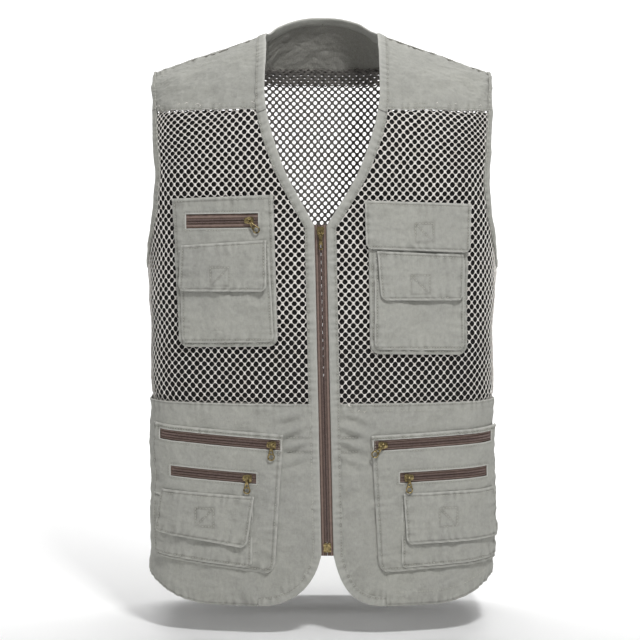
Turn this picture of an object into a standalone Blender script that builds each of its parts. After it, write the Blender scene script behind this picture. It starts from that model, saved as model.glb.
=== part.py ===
"""Fishing vest with a mesh upper, a solid lower part, a separating front zip and flapped pockets.

The front faces -Y, +X is the wearer's left, +Z is up. The origin lies between the two side neck
points, where the vest hangs on the wearer's shoulders. Every cloth piece is laid on one body form:
a place on it is (across, up), the distance round the body from the centre line and the height
along the cloth, which runs up the front, over the shoulder ridge and down the back.
"""

import math

import bmesh
import bpy
from mathutils import Matrix, Vector

# Body form
HALF_WIDTH = 0.198
DEPTH = 0.128
SIDE_RADIUS = 0.060
SIDE_FLAT = 0.045
CHEST_LINE = -0.160
UPPER_SPAN = 0.150
NECK_HALF_WIDTH = 0.0645
NECK_RISE = 0.050
NECK_ARCH = 2.2
RIDGE_ROUND = 0.0015
BACK_NECK_TURN = 0.49
SHOULDER_HALF_WIDTH = 0.195
SHOULDER_DROP = 0.045

# Seams, as heights
YOKE_SEAM = -0.092
BACK_YOKE_SEAM = -0.040
LOWER_SEAM = -0.421
ARMHOLE_BOTTOM = -0.262
HEM = -0.650
SIDE_HEM = -0.622
SHOULDER_SEAM_TURN = math.radians(78)
BACK_MESH_TOP = -0.0862
MEET_YOKE_FROM = -0.2
MEET_YOKE_SPAN = 0.1140

# The least distance between a curve's cut end and the next point along it
EDGE_STEP = 0.004

# Main zip
ZIP_TOP = -0.222
ZIP_BOTTOM = -0.588
ZIP_TOP_ACROSS = -0.002
ZIP_LEAN = 0.0216
FRONT_GAP = 0.0066

# Cloth
GAP = 0.0004
PANEL = 0.0012
BINDING_WIDTH = 0.011
BINDING_PROUD = 0.0008
BINDING = 0.0026
SEAM_CLEARANCE = 0.0009
LINING_OUT = -0.0022
LINING = 0.0008
POCKET_OUT = 0.0042
POCKET_FOOT = 0.0012
POCKET_RIM = 0.0016
PLY_OUT = POCKET_OUT + 0.0016
PLY = 0.0010
LOOP_PAD = 0.0006
HOOK_PAD = 0.0007
FLAP = 0.0010
PAD_HALF = 0.0115
HOOK_PAD_MARGIN = 0.0008

# Zips: tape and coil halves on both sides of a slot in which the slider's web runs
TAPE = 0.0007
TAPE_OUT = POCKET_OUT - 0.0002
COIL_RISE = 0.0010
COIL_HALF = 0.0030
SLOT_HALF = 0.0008
ZIP_STOP = 0.004
SLIDER_LENGTH = 0.0105
SLIDER_HALF = 0.0043
PLATE = 0.0010
WEB_HALF = 0.0004
RUNNING_GAP = 0.0004
PULL_LENGTH = 0.0150
PULL_HALF = 0.0034
PULL = 0.0011
MAIN_PULL_LENGTH = 0.0190
MAIN_PULL_DROP = 0.0020

FRONT_TURN = 2 * math.atan((DEPTH - SIDE_FLAT - SIDE_RADIUS) / (HALF_WIDTH - SIDE_RADIUS))
FRONT_RADIUS = SIDE_RADIUS + (HALF_WIDTH - SIDE_RADIUS) / math.sin(FRONT_TURN)
FRONT_SPAN = FRONT_RADIUS * FRONT_TURN
SEAM = FRONT_SPAN + SIDE_RADIUS * (math.pi / 2 - FRONT_TURN) + SIDE_FLAT
RIDGE = CHEST_LINE + UPPER_SPAN * math.pi / 2


# ---------------------------------------------------------------- body form

def section(across):
    """The x and the depth from the side seams, at a distance round the body from the centre line."""
    side, a = (1 if across >= 0 else -1), abs(across)
    if a <= FRONT_SPAN:
        turn = a / FRONT_RADIUS
        x, depth = FRONT_RADIUS * math.sin(turn), DEPTH - FRONT_RADIUS * (1 - math.cos(turn))
    elif a <= SEAM - SIDE_FLAT:
        turn = FRONT_TURN + (a - FRONT_SPAN) / SIDE_RADIUS
        x = HALF_WIDTH - SIDE_RADIUS * (1 - math.sin(turn))
        depth = SIDE_FLAT + SIDE_RADIUS * math.cos(turn)
    else:
        x, depth = HALF_WIDTH, SEAM - a
    return side * x, depth


def across_at(x):
    """The distance round the body from the centre line to the point with this x."""
    side, x = (1 if x >= 0 else -1), abs(x)
    if x <= FRONT_RADIUS * math.sin(FRONT_TURN):
        return side * FRONT_RADIUS * math.asin(x / FRONT_RADIUS)
    turn = math.asin(1 - (HALF_WIDTH - x) / SIDE_RADIUS)
    return side * (FRONT_SPAN + SIDE_RADIUS * (turn - FRONT_TURN))


def ridge_height(x):
    """The height of the shoulder ridge, which rises to the back of the neck near the centre."""
    neck = NECK_RISE * (1 - (abs(x) / NECK_HALF_WIDTH) ** NECK_ARCH)
    shoulder = SHOULDER_DROP * (NECK_HALF_WIDTH - abs(x)) / (SHOULDER_HALF_WIDTH - NECK_HALF_WIDTH)
    return (neck + shoulder) / 2 + math.hypot((neck - shoulder) / 2, RIDGE_ROUND)


def body_point(across, up):
    x, depth = section(across)
    turn = (up - CHEST_LINE) / UPPER_SPAN
    if turn <= 0:
        return Vector((x, -depth, up))
    if turn >= math.pi:
        return Vector((x, depth, 2 * RIDGE - up))
    rise = ridge_height(x) - CHEST_LINE
    return Vector((x, -depth * math.cos(turn), CHEST_LINE + rise * math.sin(turn)))


def outward(across, up):
    step = 1e-4
    along = body_point(across + step, up) - body_point(across - step, up)
    rise = body_point(across, up + step) - body_point(across, up - step)
    return along.cross(rise).normalized()


def laid(across, up, out=0.0):
    """The point that lies this far outside the body form."""
    return body_point(across, up) + out * outward(across, up)


def front_up(z, across):
    """The height along the front cloth of the point at height z."""
    if z <= CHEST_LINE:
        return z
    rise = ridge_height(section(across)[0]) - CHEST_LINE
    return CHEST_LINE + UPPER_SPAN * math.asin(min(1, (z - CHEST_LINE) / rise))


def back(point):
    """The point of the back that mirrors a point of the front."""
    return point[0], 2 * RIDGE - point[1]


# ---------------------------------------------------------------- curves on the form

def mix(p, q, t):
    return p[0] + (q[0] - p[0]) * t, p[1] + (q[1] - p[1]) * t


def bezier(ends, steps):
    """The points of a cubic Bezier arc with these four control points."""
    found = []
    for i in range(steps + 1):
        level = list(ends)
        while len(level) > 1:
            level = [mix(p, q, i / steps) for p, q in zip(level, level[1:])]
        found.append(level[0])
    return found


def beside(curve, width):
    """The curve moved to its left by width."""
    found = []
    for i, point in enumerate(curve):
        before, after = curve[max(i - 1, 0)], curve[min(i + 1, len(curve) - 1)]
        run = Vector((after[0] - before[0], after[1] - before[1])).normalized()
        found.append((point[0] - run.y * width, point[1] + run.x * width))
    return found


def at_height(curve, z):
    """The point where a curve, listed from low to high, comes to the height z."""
    heights = [body_point(*p).z for p in curve]
    for i, (low, high) in enumerate(zip(heights, heights[1:])):
        if low <= z <= high and high > low:
            return mix(curve[i], curve[i + 1], (z - low) / (high - low))
    return curve[0] if z < heights[0] else curve[-1]


def mirrored(curve, side):
    return [(side * a, up) for a, up in curve]


def zip_line(z):
    """The across of the main zip's centre at the height z. The zip leans a little."""
    return ZIP_TOP_ACROSS + ZIP_LEAN * (ZIP_TOP - z)


def back_neck_edge():
    """The back neck edge, from the left side neck point to the centre."""
    quarter = [math.radians(a) for a in (12, 24, 36, 48, 60, 70, 80, 90)]
    return [(NECK_HALF_WIDTH * math.cos(a), RIDGE + BACK_NECK_TURN * UPPER_SPAN * math.sin(a)) for a in quarter]


# ---------------------------------------------------------------- building

def clear_scene():
    for thing in list(bpy.data.objects):
        bpy.data.objects.remove(thing, do_unlink=True)


def collection(name, hidden=False):
    made = bpy.data.collections.new(name)
    bpy.context.scene.collection.children.link(made)
    made.hide_render = hidden
    return made


def material(name, colour, roughness, metallic=0.0):
    made = bpy.data.materials.new(name)
    made.use_nodes = True
    shader = made.node_tree.nodes["Principled BSDF"]
    shader.inputs["Base Color"].default_value = (*colour, 1)
    shader.inputs["Roughness"].default_value = roughness
    shader.inputs["Metallic"].default_value = metallic
    made.diffuse_color = (*colour, 1)
    return made


def add(name, mesh, finish):
    made = bpy.data.objects.new(name, mesh)
    if finish is None:
        cutters.objects.link(made)
        made.hide_render, made.display_type = True, "WIRE"
    else:
        parts.objects.link(made)
        if not mesh.materials:
            mesh.materials.append(finish)
    return made


def pivot(name, place):
    """An empty on the axis of a joint."""
    mark = bpy.data.objects.new(name, None)
    parts.objects.link(mark)
    mark.location, mark.empty_display_size = place, 0.01
    return mark


def attach(mark, *things):
    """Parents things to a pivot where they are."""
    for thing in things:
        thing.parent = mark
        thing.matrix_parent_inverse = Matrix.Translation(mark.location).inverted()


def stations(low, high):
    """Shares of the way from low to high at which a sheet is divided, closer where the form bends more."""
    marks = [FRONT_SPAN * i / 6 for i in range(7)]
    marks += [FRONT_SPAN + (SEAM - SIDE_FLAT - FRONT_SPAN) * i / 7 for i in range(1, 8)]
    marks = sorted({side * mark for side in (-1, 1) for mark in marks}, reverse=low > high)
    inside = [m for m in marks if min(low, high) + 0.003 < m < max(low, high) - 0.003]
    return [(m - low) / (high - low) for m in (low, *inside, high)]


def sheet(name, left, right, out, thickness, finish, shares=None, raised=None, holes=None, bend=None):
    """A sheet of cloth laid on the form between two edges, each a list of (across, up) in rows.

    out is how far its outer face lies outside the form. raised(row, column) adds to that,
    holes(row, column) says which cells are left out, and bend(row, column, across, up) moves a point.
    """
    if shares is None:
        middle = len(left) // 2
        shares = stations(left[middle][0], right[middle][0])
    shape = bmesh.new()
    grid = []
    for row, (start, end) in enumerate(zip(left, right)):
        line = []
        for column, share in enumerate(shares):
            across, up = mix(start, end, share)
            if bend:
                across, up = bend(row, column, across, up)
            line.append(shape.verts.new(laid(across, up, out + (raised(row, column) if raised else 0))))
        grid.append(line)
    for row, (lower, upper) in enumerate(zip(grid, grid[1:])):
        for column in range(len(shares) - 1):
            if not (holes and holes(row, column)):
                shape.faces.new((lower[column], lower[column + 1], upper[column + 1], upper[column]))
    shape.normal_update()
    share = sum(shares[:2]) / 2
    across, up = mix(mix(left[0], right[0], share), mix(left[1], right[1], share), 0.5)
    shape.faces.ensure_lookup_table()
    if shape.faces[0].normal.dot(outward(across, up)) < 0:
        bmesh.ops.reverse_faces(shape, faces=shape.faces[:])
    mesh = bpy.data.meshes.new(name)
    shape.to_mesh(mesh)
    shape.free()
    made = add(name, mesh, finish)
    shell = made.modifiers.new("thickness", "SOLIDIFY")
    shell.thickness, shell.offset = thickness, -1
    return made


def cut(target, tool, operation="DIFFERENCE"):
    modifier = target.modifiers.new(operation.lower(), "BOOLEAN")
    modifier.operation, modifier.object, modifier.solver = operation, tool, "EXACT"


def box_mesh(name, boxes):
    """One mesh of several blocks, each (centre, size)."""
    shape = bmesh.new()
    for centre, size in boxes:
        block = Matrix.Translation(centre) @ Matrix.Diagonal((*size, 1))
        bmesh.ops.create_cube(shape, size=1, matrix=block)
    mesh = bpy.data.meshes.new(name)
    shape.to_mesh(mesh)
    shape.free()
    return mesh


def united(name, blocks):
    """The mesh of blocks joined into one body. Each block is (centre, size)."""
    first = add(name + "_core", box_mesh(name + "_core", blocks[:1]), None)
    tools = [add(f"{name}_{i}", box_mesh(f"{name}_{i}", [b]), None) for i, b in enumerate(blocks[1:])]
    for tool in tools:
        cut(first, tool, "UNION")
    bpy.context.view_layer.update()
    ready = first.evaluated_get(bpy.context.evaluated_depsgraph_get())
    mesh = bpy.data.meshes.new_from_object(ready)
    mesh.name = name
    for thing in [first, *tools]:
        bpy.data.objects.remove(thing, do_unlink=True)
    return mesh


def frame_at(across, up, out, tilt=0.0):
    """A place on the form: X runs round the body, turned up by tilt, Y points inwards and Z up."""
    inward = -outward(across, up)
    along = (body_point(across + 1e-4, up) - body_point(across - 1e-4, up)).normalized()
    spin = Matrix.Rotation(-tilt, 3, inward)
    along = spin @ along
    rise = along.cross(inward)
    place = Matrix((along, inward, rise)).transposed().to_4x4()
    place.translation = laid(across, up, out)
    return place


# ---------------------------------------------------------------- edges shared by the cloth pieces

def neck_rows(side):
    """One side's neck edge, from the zip's top up to the side neck point on the ridge."""
    top = (side * NECK_HALF_WIDTH, front_up(-0.070, NECK_HALF_WIDTH))
    start = (zip_line(ZIP_TOP) + side * FRONT_GAP, ZIP_TOP)
    curve = bezier([start, (side * 0.027, -0.186), (side * 0.064, -0.135), top], 8)
    return curve + [mix(top, (side * NECK_HALF_WIDTH, RIDGE), (i + 1) / 7) for i in range(7)]


def front_edge(side):
    """One front's edge: round the hem's cut-away corner, up beside the zip and round the neck."""
    above = zip_line(-0.590) + side * FRONT_GAP
    corner = bezier([(side * 0.070, HEM), (side * 0.036, HEM), (above + side * 0.008, -0.630), (above, -0.590)], 6)
    beside_zip = [(zip_line(z) + side * FRONT_GAP, z) for z in (-0.50, -0.42, -0.32)]
    return [(side * 0.072, HEM)] + corner + beside_zip + neck_rows(side)


def inner_edge(side):
    """Where the front's cloth starts, beside the binding."""
    return beside(front_edge(side), -side * (BINDING_WIDTH + GAP))


def armhole():
    """The left armhole's edge, from the side seam's top up the front to the shoulder ridge."""
    lower = bezier([(SEAM, ARMHOLE_BOTTOM), (0.236, ARMHOLE_BOTTOM), (0.204, -0.228), (0.204, -0.165)], 7)
    top = (across_at(0.1965), RIDGE)
    return lower + bezier([(0.204, -0.165), (0.204, -0.110), (0.220, -0.060), top], 12)[1:]


def outer_edge():
    """Where the left front's cloth ends: the side seam, then the armhole's binding."""
    below = [(SEAM - GAP / 2, z) for z in (HEM, LOWER_SEAM, -0.35)]
    bound = beside(armhole(), BINDING_WIDTH + GAP)
    bound[0] = (SEAM - GAP / 2, bound[0][1])
    return below + bound


def mesh_heights(top):
    """Heights of a mesh panel's rows: those of the armhole's points, so that it follows the binding."""
    arm = [body_point(*p).z for p in outer_edge()[3:]]
    return [LOWER_SEAM + GAP, -0.36, -0.31] + [z for z in arm if z < top - 0.005] + [top]


def back_yoke_height(across):
    t = min(1, max(0, (abs(across) - 0.07) / 0.13))
    return BACK_YOKE_SEAM - 0.045 * t * t * (3 - 2 * t)


def hem_height(across):
    t = min(1, max(0, (abs(across) - 0.13) / 0.11))
    return HEM + (SIDE_HEM - HEM) * t * t * (3 - 2 * t)


# ---------------------------------------------------------------- shoulders and back

def add_shoulders():
    """The front yokes, the back yoke over the shoulders, and the neck and armhole bindings."""
    inside = NECK_HALF_WIDTH + BINDING_WIDTH + GAP
    arm_in = beside(armhole(), BINDING_WIDTH + 2 * GAP)
    seam_up = CHEST_LINE + UPPER_SPAN * SHOULDER_SEAM_TURN
    low_in, low_out = front_up(YOKE_SEAM, inside), at_height(arm_in, YOKE_SEAM)[1]
    for side, word in SIDES:
        shares = [i / 6 for i in range(7)]
        left = [(side * inside, low_in + (seam_up - low_in) * s) for s in shares]
        ups = [low_out + (seam_up - low_out) * s for s in shares]
        right = [(side * at_up(arm_in, up), up) for up in ups]
        sheet(f"front_yoke_{word}", left, right, 0, PANEL, cloth)

    front_start, shoulder_end = seam_up + 2 * GAP, arm_in[-1][0]
    edge = arm_in + [back(p) for p in arm_in[-2::-1]]
    neckline = beside(back_neck_edge(), -(BINDING_WIDTH + GAP))[::-1]
    half = [(0, neckline[0][1])] + [p for p in neckline[1:] if p[0] < inside - 0.0010]
    half += [(inside - 0.0003, RIDGE), (inside, front_start)]
    half += [(a, front_start) for a in (0.100, 0.125, 0.150, 0.170, 0.185, 0.198, shoulder_end)]
    tops = [(-a, up) for a, up in half[:0:-1]] + half
    lows = [(a, 2 * RIDGE - front_up(back_yoke_height(a), a)) for a, _ in tops]

    def over_shoulder(row, column, across, up):
        share = max(0, (abs(across) - inside) / (shoulder_end - inside))
        across *= 1 - share * (1 - at_up(edge, up) / shoulder_end)
        end = 2 * RIDGE - front_up(back_yoke_height(across), across)
        return across, tops[row][1] + (end - tops[row][1]) * column / 9

    sheet("back_yoke", tops, lows, 0, PANEL, cloth, shares=[i / 9 for i in range(10)], bend=over_shoulder)

    start = at_height(neck_rows(1), YOKE_SEAM)
    around = [start] + [p for p in neck_rows(1) if p[1] > start[1] + EDGE_STEP] + back_neck_edge()
    around += [(-a, up) for a, up in around[-2::-1]]
    binding("neck_binding", around, -BINDING_WIDTH)

    for side, word in SIDES:
        over = [at_height(armhole(), YOKE_SEAM)]
        over += [p for p in armhole() if body_point(*p).z > YOKE_SEAM + EDGE_STEP]
        over += [back(p) for p in armhole()[-2::-1]]
        over[-1] = (SEAM - SEAM_CLEARANCE, over[-1][1])
        binding(f"armhole_binding_back_{word}", mirrored(over, side), side * BINDING_WIDTH)


def at_up(curve, up):
    """The across at which a curve comes to this height along the cloth."""
    for (a, low), (b, high) in zip(curve, curve[1:]):
        if min(low, high) <= up <= max(low, high) and low != high:
            return a + (b - a) * (up - low) / (high - low)
    return curve[-1][0]


def binding(name, curve, width):
    """A bound edge: a strip beside a curve, thicker than the cloth and a little proud of it."""
    return sheet(name, curve, beside(curve, width), BINDING_PROUD, BINDING, trim, shares=[0, 0.5, 1])


def add_back():
    """The mesh back and the solid lower back."""
    arm_in = outer_edge()
    heights = mesh_heights(BACK_MESH_TOP)
    right = [back(at_height(arm_in, z)) for z in heights]
    left = [(-a, up) for a, up in right]

    def meet_yoke(row, column, across, up):
        share = max(0, (heights[row] - MEET_YOKE_FROM) / MEET_YOKE_SPAN)
        target = 2 * RIDGE - front_up(back_yoke_height(across) - 3 * GAP, across)
        return across, up + (target - right[-1][1]) * share * share

    sheet("back_mesh", left, right, 0, PANEL, mesh_cloth, bend=meet_yoke)
    right = [back((SEAM - GAP / 2, z)) for z in (SIDE_HEM, -0.56, -0.49, LOWER_SEAM)]
    sheet("back_lower_panel", [(-a, up) for a, up in right], right, 0, PANEL, cloth)


# ---------------------------------------------------------------- fronts

def add_front(side, word):
    """One front: mesh panel and its lining, solid lower panel, and the bindings of its edges."""
    heights = mesh_heights(YOKE_SEAM - GAP)
    inner = [at_height(inner_edge(side), z) for z in heights]
    outer = [(side * a, up) for a, up in (at_height(outer_edge(), z) for z in heights)]
    upper = sheet(f"front_mesh_{word}", inner, outer, 0, PANEL, mesh_cloth)
    lining = sheet(f"front_lining_{word}", inner, outer, LINING_OUT, LINING, lining_cloth)

    low_in = [p for p in inner_edge(side) if p[1] < -0.585]
    end = SEAM - GAP / 2
    side_stations = [0.0724, 0.090, 0.115, 0.140, 0.160, 0.172, 0.184, 0.196, 0.208, 0.222, 0.235, 0.258, end]
    bottoms = low_in[::-1] + [(side * a, hem_height(a)) for a in side_stations]
    top_in = at_height(inner_edge(side), LOWER_SEAM)[0]
    low = bottoms[0][0]
    tops = [(top_in + (side * end - top_in) * (a - low) / (side * end - low), LOWER_SEAM) for a, _ in bottoms]
    lower = sheet(f"front_lower_panel_{word}", bottoms, tops, 0, PANEL, cloth, shares=[0, 0.33, 0.66, 1])

    edge = [p for p in front_edge(side) if body_point(*p).z < YOKE_SEAM - EDGE_STEP]
    edge.append(at_height(front_edge(side), YOKE_SEAM - GAP))
    beside_zip = binding(f"front_binding_{word}", edge, -side * BINDING_WIDTH)
    arm = [p for p in armhole() if body_point(*p).z < YOKE_SEAM - EDGE_STEP]
    arm[0] = (SEAM - SEAM_CLEARANCE, arm[0][1])
    arm.append(at_height(armhole(), YOKE_SEAM - GAP))
    beside_arm = binding(f"armhole_binding_front_{word}", mirrored(arm, side), side * BINDING_WIDTH)
    attach(fronts[side], upper, lining, lower, beside_zip, beside_arm)


# ---------------------------------------------------------------- pockets and flaps

def outline(side, top_in, top_out, low_in, low_out, radius, rows=3):
    """A patch's two edges from its corners, each (distance from the centre plane, z).

    The lower corners are rounded. The edges are lists of (across, up), from low to high.
    """
    corners = [Vector((across_at(x), z)) for x, z in (top_in, top_out, low_in, low_out)]
    edges = []
    for top, low, other in ((corners[0], corners[2], corners[3]), (corners[1], corners[3], corners[2])):
        base, rise = (other - low).normalized(), (top - low).normalized()
        arc = [math.radians(a) for a in (0, 30, 60, 90)]
        points = [low + radius * ((1 - math.sin(t)) * base + (1 - math.cos(t)) * rise) for t in arc]
        start = points[-1]
        points += [start + (top - start) * i / rows for i in range(1, rows + 1)]
        edges.append([(side * p.x, p.y) for p in points])
    return edges


def pocket(name, side, edges, closed_top):
    """A patch pocket: a shallow tray whose rim stands on the panel behind it."""
    inner, outer = edges
    if closed_top:
        near = [mix(e[-1], e[-2], POCKET_RIM / abs(e[-1][1] - e[-2][1])) for e in edges]
        inner, outer = inner[:-1] + [near[0], inner[-1]], outer[:-1] + [near[1], outer[-1]]
    width = abs(outer[4][0] - inner[4][0])
    rim = POCKET_RIM / width
    low, high = sorted((abs(inner[4][0]), abs(outer[4][0])))
    shares = [0, rim] + [s for s in stations(low, high)[1:-1] if rim * 2 < s < 1 - rim * 2] + [1 - rim, 1]
    last_row, last_column = len(inner) - 1, len(shares) - 1

    def rise(row, column):
        at_foot = row == 0 or column in (0, last_column) or (closed_top and row == last_row)
        return POCKET_FOOT - POCKET_OUT if at_foot else 0

    made = sheet(name, inner, outer, POCKET_OUT, PANEL, cloth, shares=shares, raised=rise)
    attach(fronts[side], made)
    return made


def ply(name, side, edges):
    """The flat front of an outer pocket, sewn onto the pocket behind it."""
    made = sheet(name, *edges, PLY_OUT, PLY, cloth)
    attach(fronts[side], made)
    return made


def pad_edges(side, x, z, half=PAD_HALF):
    """The edges of a square pad centred at a distance from the centre plane."""
    a = across_at(x)
    inner = [(side * (a - half), z - half), (side * (a - half), z + half)]
    outer = [(side * (a + half), z - half), (side * (a + half), z + half)]
    return inner, outer


def add_flap(name, side, corners, pad, base, backing, dip):
    """A flap and its hook pad, with the loop pad raised on the cloth behind it.

    base is how far that cloth's outer face lies outside the form, and dip how far the flap's top
    edge turns in towards the seam that holds it.
    """
    loop = sheet(f"{name}_loop", *pad_edges(side, *pad), base + LOOP_PAD, LOOP_PAD + 0.0004, None)
    cut(backing, loop, "UNION")
    hook_out = base + LOOP_PAD + 0.0003 + HOOK_PAD
    hook_edges = pad_edges(side, *pad, half=PAD_HALF - HOOK_PAD_MARGIN)
    hooks = sheet(f"{name}_hook_pad", *hook_edges, hook_out, HOOK_PAD, hook)
    edges = outline(side, *corners, radius=0.006, rows=2)
    inner, outer = (e[:-1] + [mix(e[-1], e[-2], 0.004 / abs(e[-1][1] - e[-2][1])), e[-1]] for e in edges)
    last, out = len(inner) - 1, hook_out + 0.0003 + FLAP
    flap = sheet(
        name, inner, outer, out, FLAP, cloth, raised=lambda row, column: -dip if row == last else 0
    )
    hinge = pivot(f"{name}_hinge", laid(*mix(inner[-1], outer[-1], 0.5), out - dip))
    attach(hinge, flap, hooks)
    attach(fronts[side], hinge)


# ---------------------------------------------------------------- zips

def window(name, side, ends, half):
    """A block that cuts a zip's opening through a pocket's face."""
    (x_in, z_in), (x_out, z_out) = ends
    a_in, a_out = across_at(x_in), across_at(x_out)
    inner = [(side * a_in, z_in - half), (side * a_in, z_in + half)]
    outer = [(side * a_out, z_out - half), (side * a_out, z_out + half)]
    return sheet(name, inner, outer, POCKET_OUT + 0.003, 0.0056, None)


def zip_rows(half):
    """Distances across a closed zip: tape, coil, slot, coil, tape."""
    step = 0.0006
    upper = [SLOT_HALF, COIL_HALF, COIL_HALF + step, half]
    return [-w for w in upper[::-1]] + upper


def add_pocket_zip(name, side, ends, half, pocket_face, pull_turn=0.0):
    """A zip in a pocket's window, with its slider closed at the inner end and a hanging pull."""
    tool = window(f"{name}_window", side, ends, half)
    cut(pocket_face, tool)
    (x_in, z_in), (x_out, z_out) = ends
    a_in, a_out = across_at(x_in) + GAP, across_at(x_out) - GAP
    rows = zip_rows(half - GAP)
    inner = [(side * a_in, z_in + w) for w in rows]
    outer = [(side * a_out, z_out + w) for w in rows]
    stop = ZIP_STOP / (a_out - a_in)
    shares = [0, stop] + [s for s in stations(a_in, a_out)[1:-1] if 1.5 * stop < s < 1 - 1.5 * stop]
    shares += [1 - stop, 1]
    last = len(shares) - 2
    tape = sheet(
        f"{name}_tape", inner, outer, TAPE_OUT, TAPE, zip_tape, shares=shares,
        raised=lambda row, column: COIL_RISE if row in (2, 3, 4, 5) else 0,
        holes=lambda row, column: row == 3 and 0 < column < last,
    )
    start, slope = slider_start(ends), zip_slope(ends)
    z = z_in + (z_out - z_in) * (start - across_at(x_in)) / (across_at(x_out) - across_at(x_in))
    place = frame_at(side * start, z, TAPE_OUT, side * slope)
    slider = add(f"{name}_slider", pocket_slider, brass)
    slider.matrix_world = place
    pull = add(f"{name}_pull", pocket_pull, brass)
    pull.matrix_world = place @ Matrix.Rotation(pull_turn + side * slope, 4, "Y")
    z_centre = z_in - (z_out - z_in) * across_at(x_in) / (across_at(x_out) - across_at(x_in))
    travel = pivot(f"{name}_travel", (0, FRONT_RADIUS - DEPTH, z_centre))
    attach(travel, slider, pull)
    attach(fronts[side], tape, travel)


def slider_start(ends):
    """The across of a pocket slider's centre when its zip is closed."""
    return across_at(ends[0][0]) + GAP + ZIP_STOP + SLIDER_LENGTH / 2 + 0.0004


def slider_end(ends):
    """The across of a pocket slider's centre when its zip is open, short of the corner of the body."""
    return min(across_at(ends[1][0]) - ZIP_STOP - SLIDER_LENGTH / 2 - 0.001, FRONT_SPAN - 0.005)


def zip_slope(ends):
    """The tilt of the plane in which a pocket slider runs."""
    (x_in, z_in), (x_out, z_out) = ends
    a_in, a_out = across_at(x_in), across_at(x_out)
    start, end = slider_start(ends), slider_end(ends)
    rise = (z_out - z_in) * (end - start) / (a_out - a_in)
    return math.atan2(rise, section(end)[0] - section(start)[0])


FRONT_FACE = COIL_RISE + RUNNING_GAP + PLATE
BACK_FACE = TAPE + RUNNING_GAP + PLATE


def slider_blocks(length, half, upright=False):
    """Front plate, back plate and the web between them, for a zip that runs along X or Z."""
    blocks = [
        ((0, -(FRONT_FACE - PLATE / 2), 0), (length, PLATE, 2 * half)),
        ((0, BACK_FACE - PLATE / 2, 0), (length, PLATE, 2 * half)),
        ((0, (BACK_FACE - FRONT_FACE) / 2, 0), (length * 0.6, FRONT_FACE + BACK_FACE - PLATE, 2 * WEB_HALF)),
    ]
    if upright:
        blocks = [((0, c[1], 0), (s[2], s[1], s[0])) for c, s in blocks]
    return blocks


def circle(radius, centre, start, end, steps):
    """Points on an arc, from one angle to another in degrees."""
    angles = [math.radians(start + (end - start) * i / steps) for i in range(steps + 1)]
    return [(centre[0] + radius * math.cos(a), centre[1] + radius * math.sin(a)) for a in angles]


def flat_shape(name, outlines, thickness):
    """A flat plate in the XY plane from closed outlines, of which the inner ones are holes."""
    curve = bpy.data.curves.new(name, "CURVE")
    curve.dimensions, curve.fill_mode, curve.extrude = "2D", "BOTH", thickness / 2
    for points in outlines:
        spline = curve.splines.new("POLY")
        spline.points.add(len(points) - 1)
        for place, (x, y) in zip(spline.points, points):
            place.co = (x, y, 0, 1)
        spline.use_cyclic_u = True
    guide = bpy.data.objects.new(name, curve)
    cutters.objects.link(guide)
    bpy.context.view_layer.update()
    mesh = bpy.data.meshes.new_from_object(guide.evaluated_get(bpy.context.evaluated_depsgraph_get()))
    shape = bmesh.new()
    shape.from_mesh(mesh)
    bmesh.ops.remove_doubles(shape, verts=shape.verts, dist=1e-6)
    shape.to_mesh(mesh)
    shape.free()
    bpy.data.objects.remove(guide, do_unlink=True)
    mesh.name = name
    return mesh


PIVOT_OUT = FRONT_FACE + 0.0026


def make_pocket_slider():
    """A slider whose pull hangs on a headed stud."""
    stud = (0.0012, 0.0032, 0.0012)
    blocks = slider_blocks(SLIDER_LENGTH, SLIDER_HALF)
    blocks.append(((0, -FRONT_FACE - 0.0014, 0), stud))
    blocks.append(((0, -FRONT_FACE - 0.0029, 0), (0.0032, 0.0007, 0.0032)))
    return united("pocket_slider", blocks)


def make_pocket_pull():
    """A flat pull with an eye on the slider's stud and a ring at its end."""
    eye, ring = (0, 0), (0, -(PULL_LENGTH - PULL_HALF))
    edge = circle(0.0024, eye, -20, 200, 12) + circle(PULL_HALF, ring, 160, 380, 14)
    holes = [circle(0.0013, eye, 0, 330, 11), circle(0.0017, ring, 0, 330, 11)]
    mesh = flat_shape("pocket_pull", [edge, *holes], PULL)
    turn = Matrix.Rotation(math.pi / 2, 4, "X")
    mesh.transform(Matrix.Translation((0, -(FRONT_FACE + 0.0005 + PULL / 2), 0)) @ turn)
    return mesh


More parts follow.
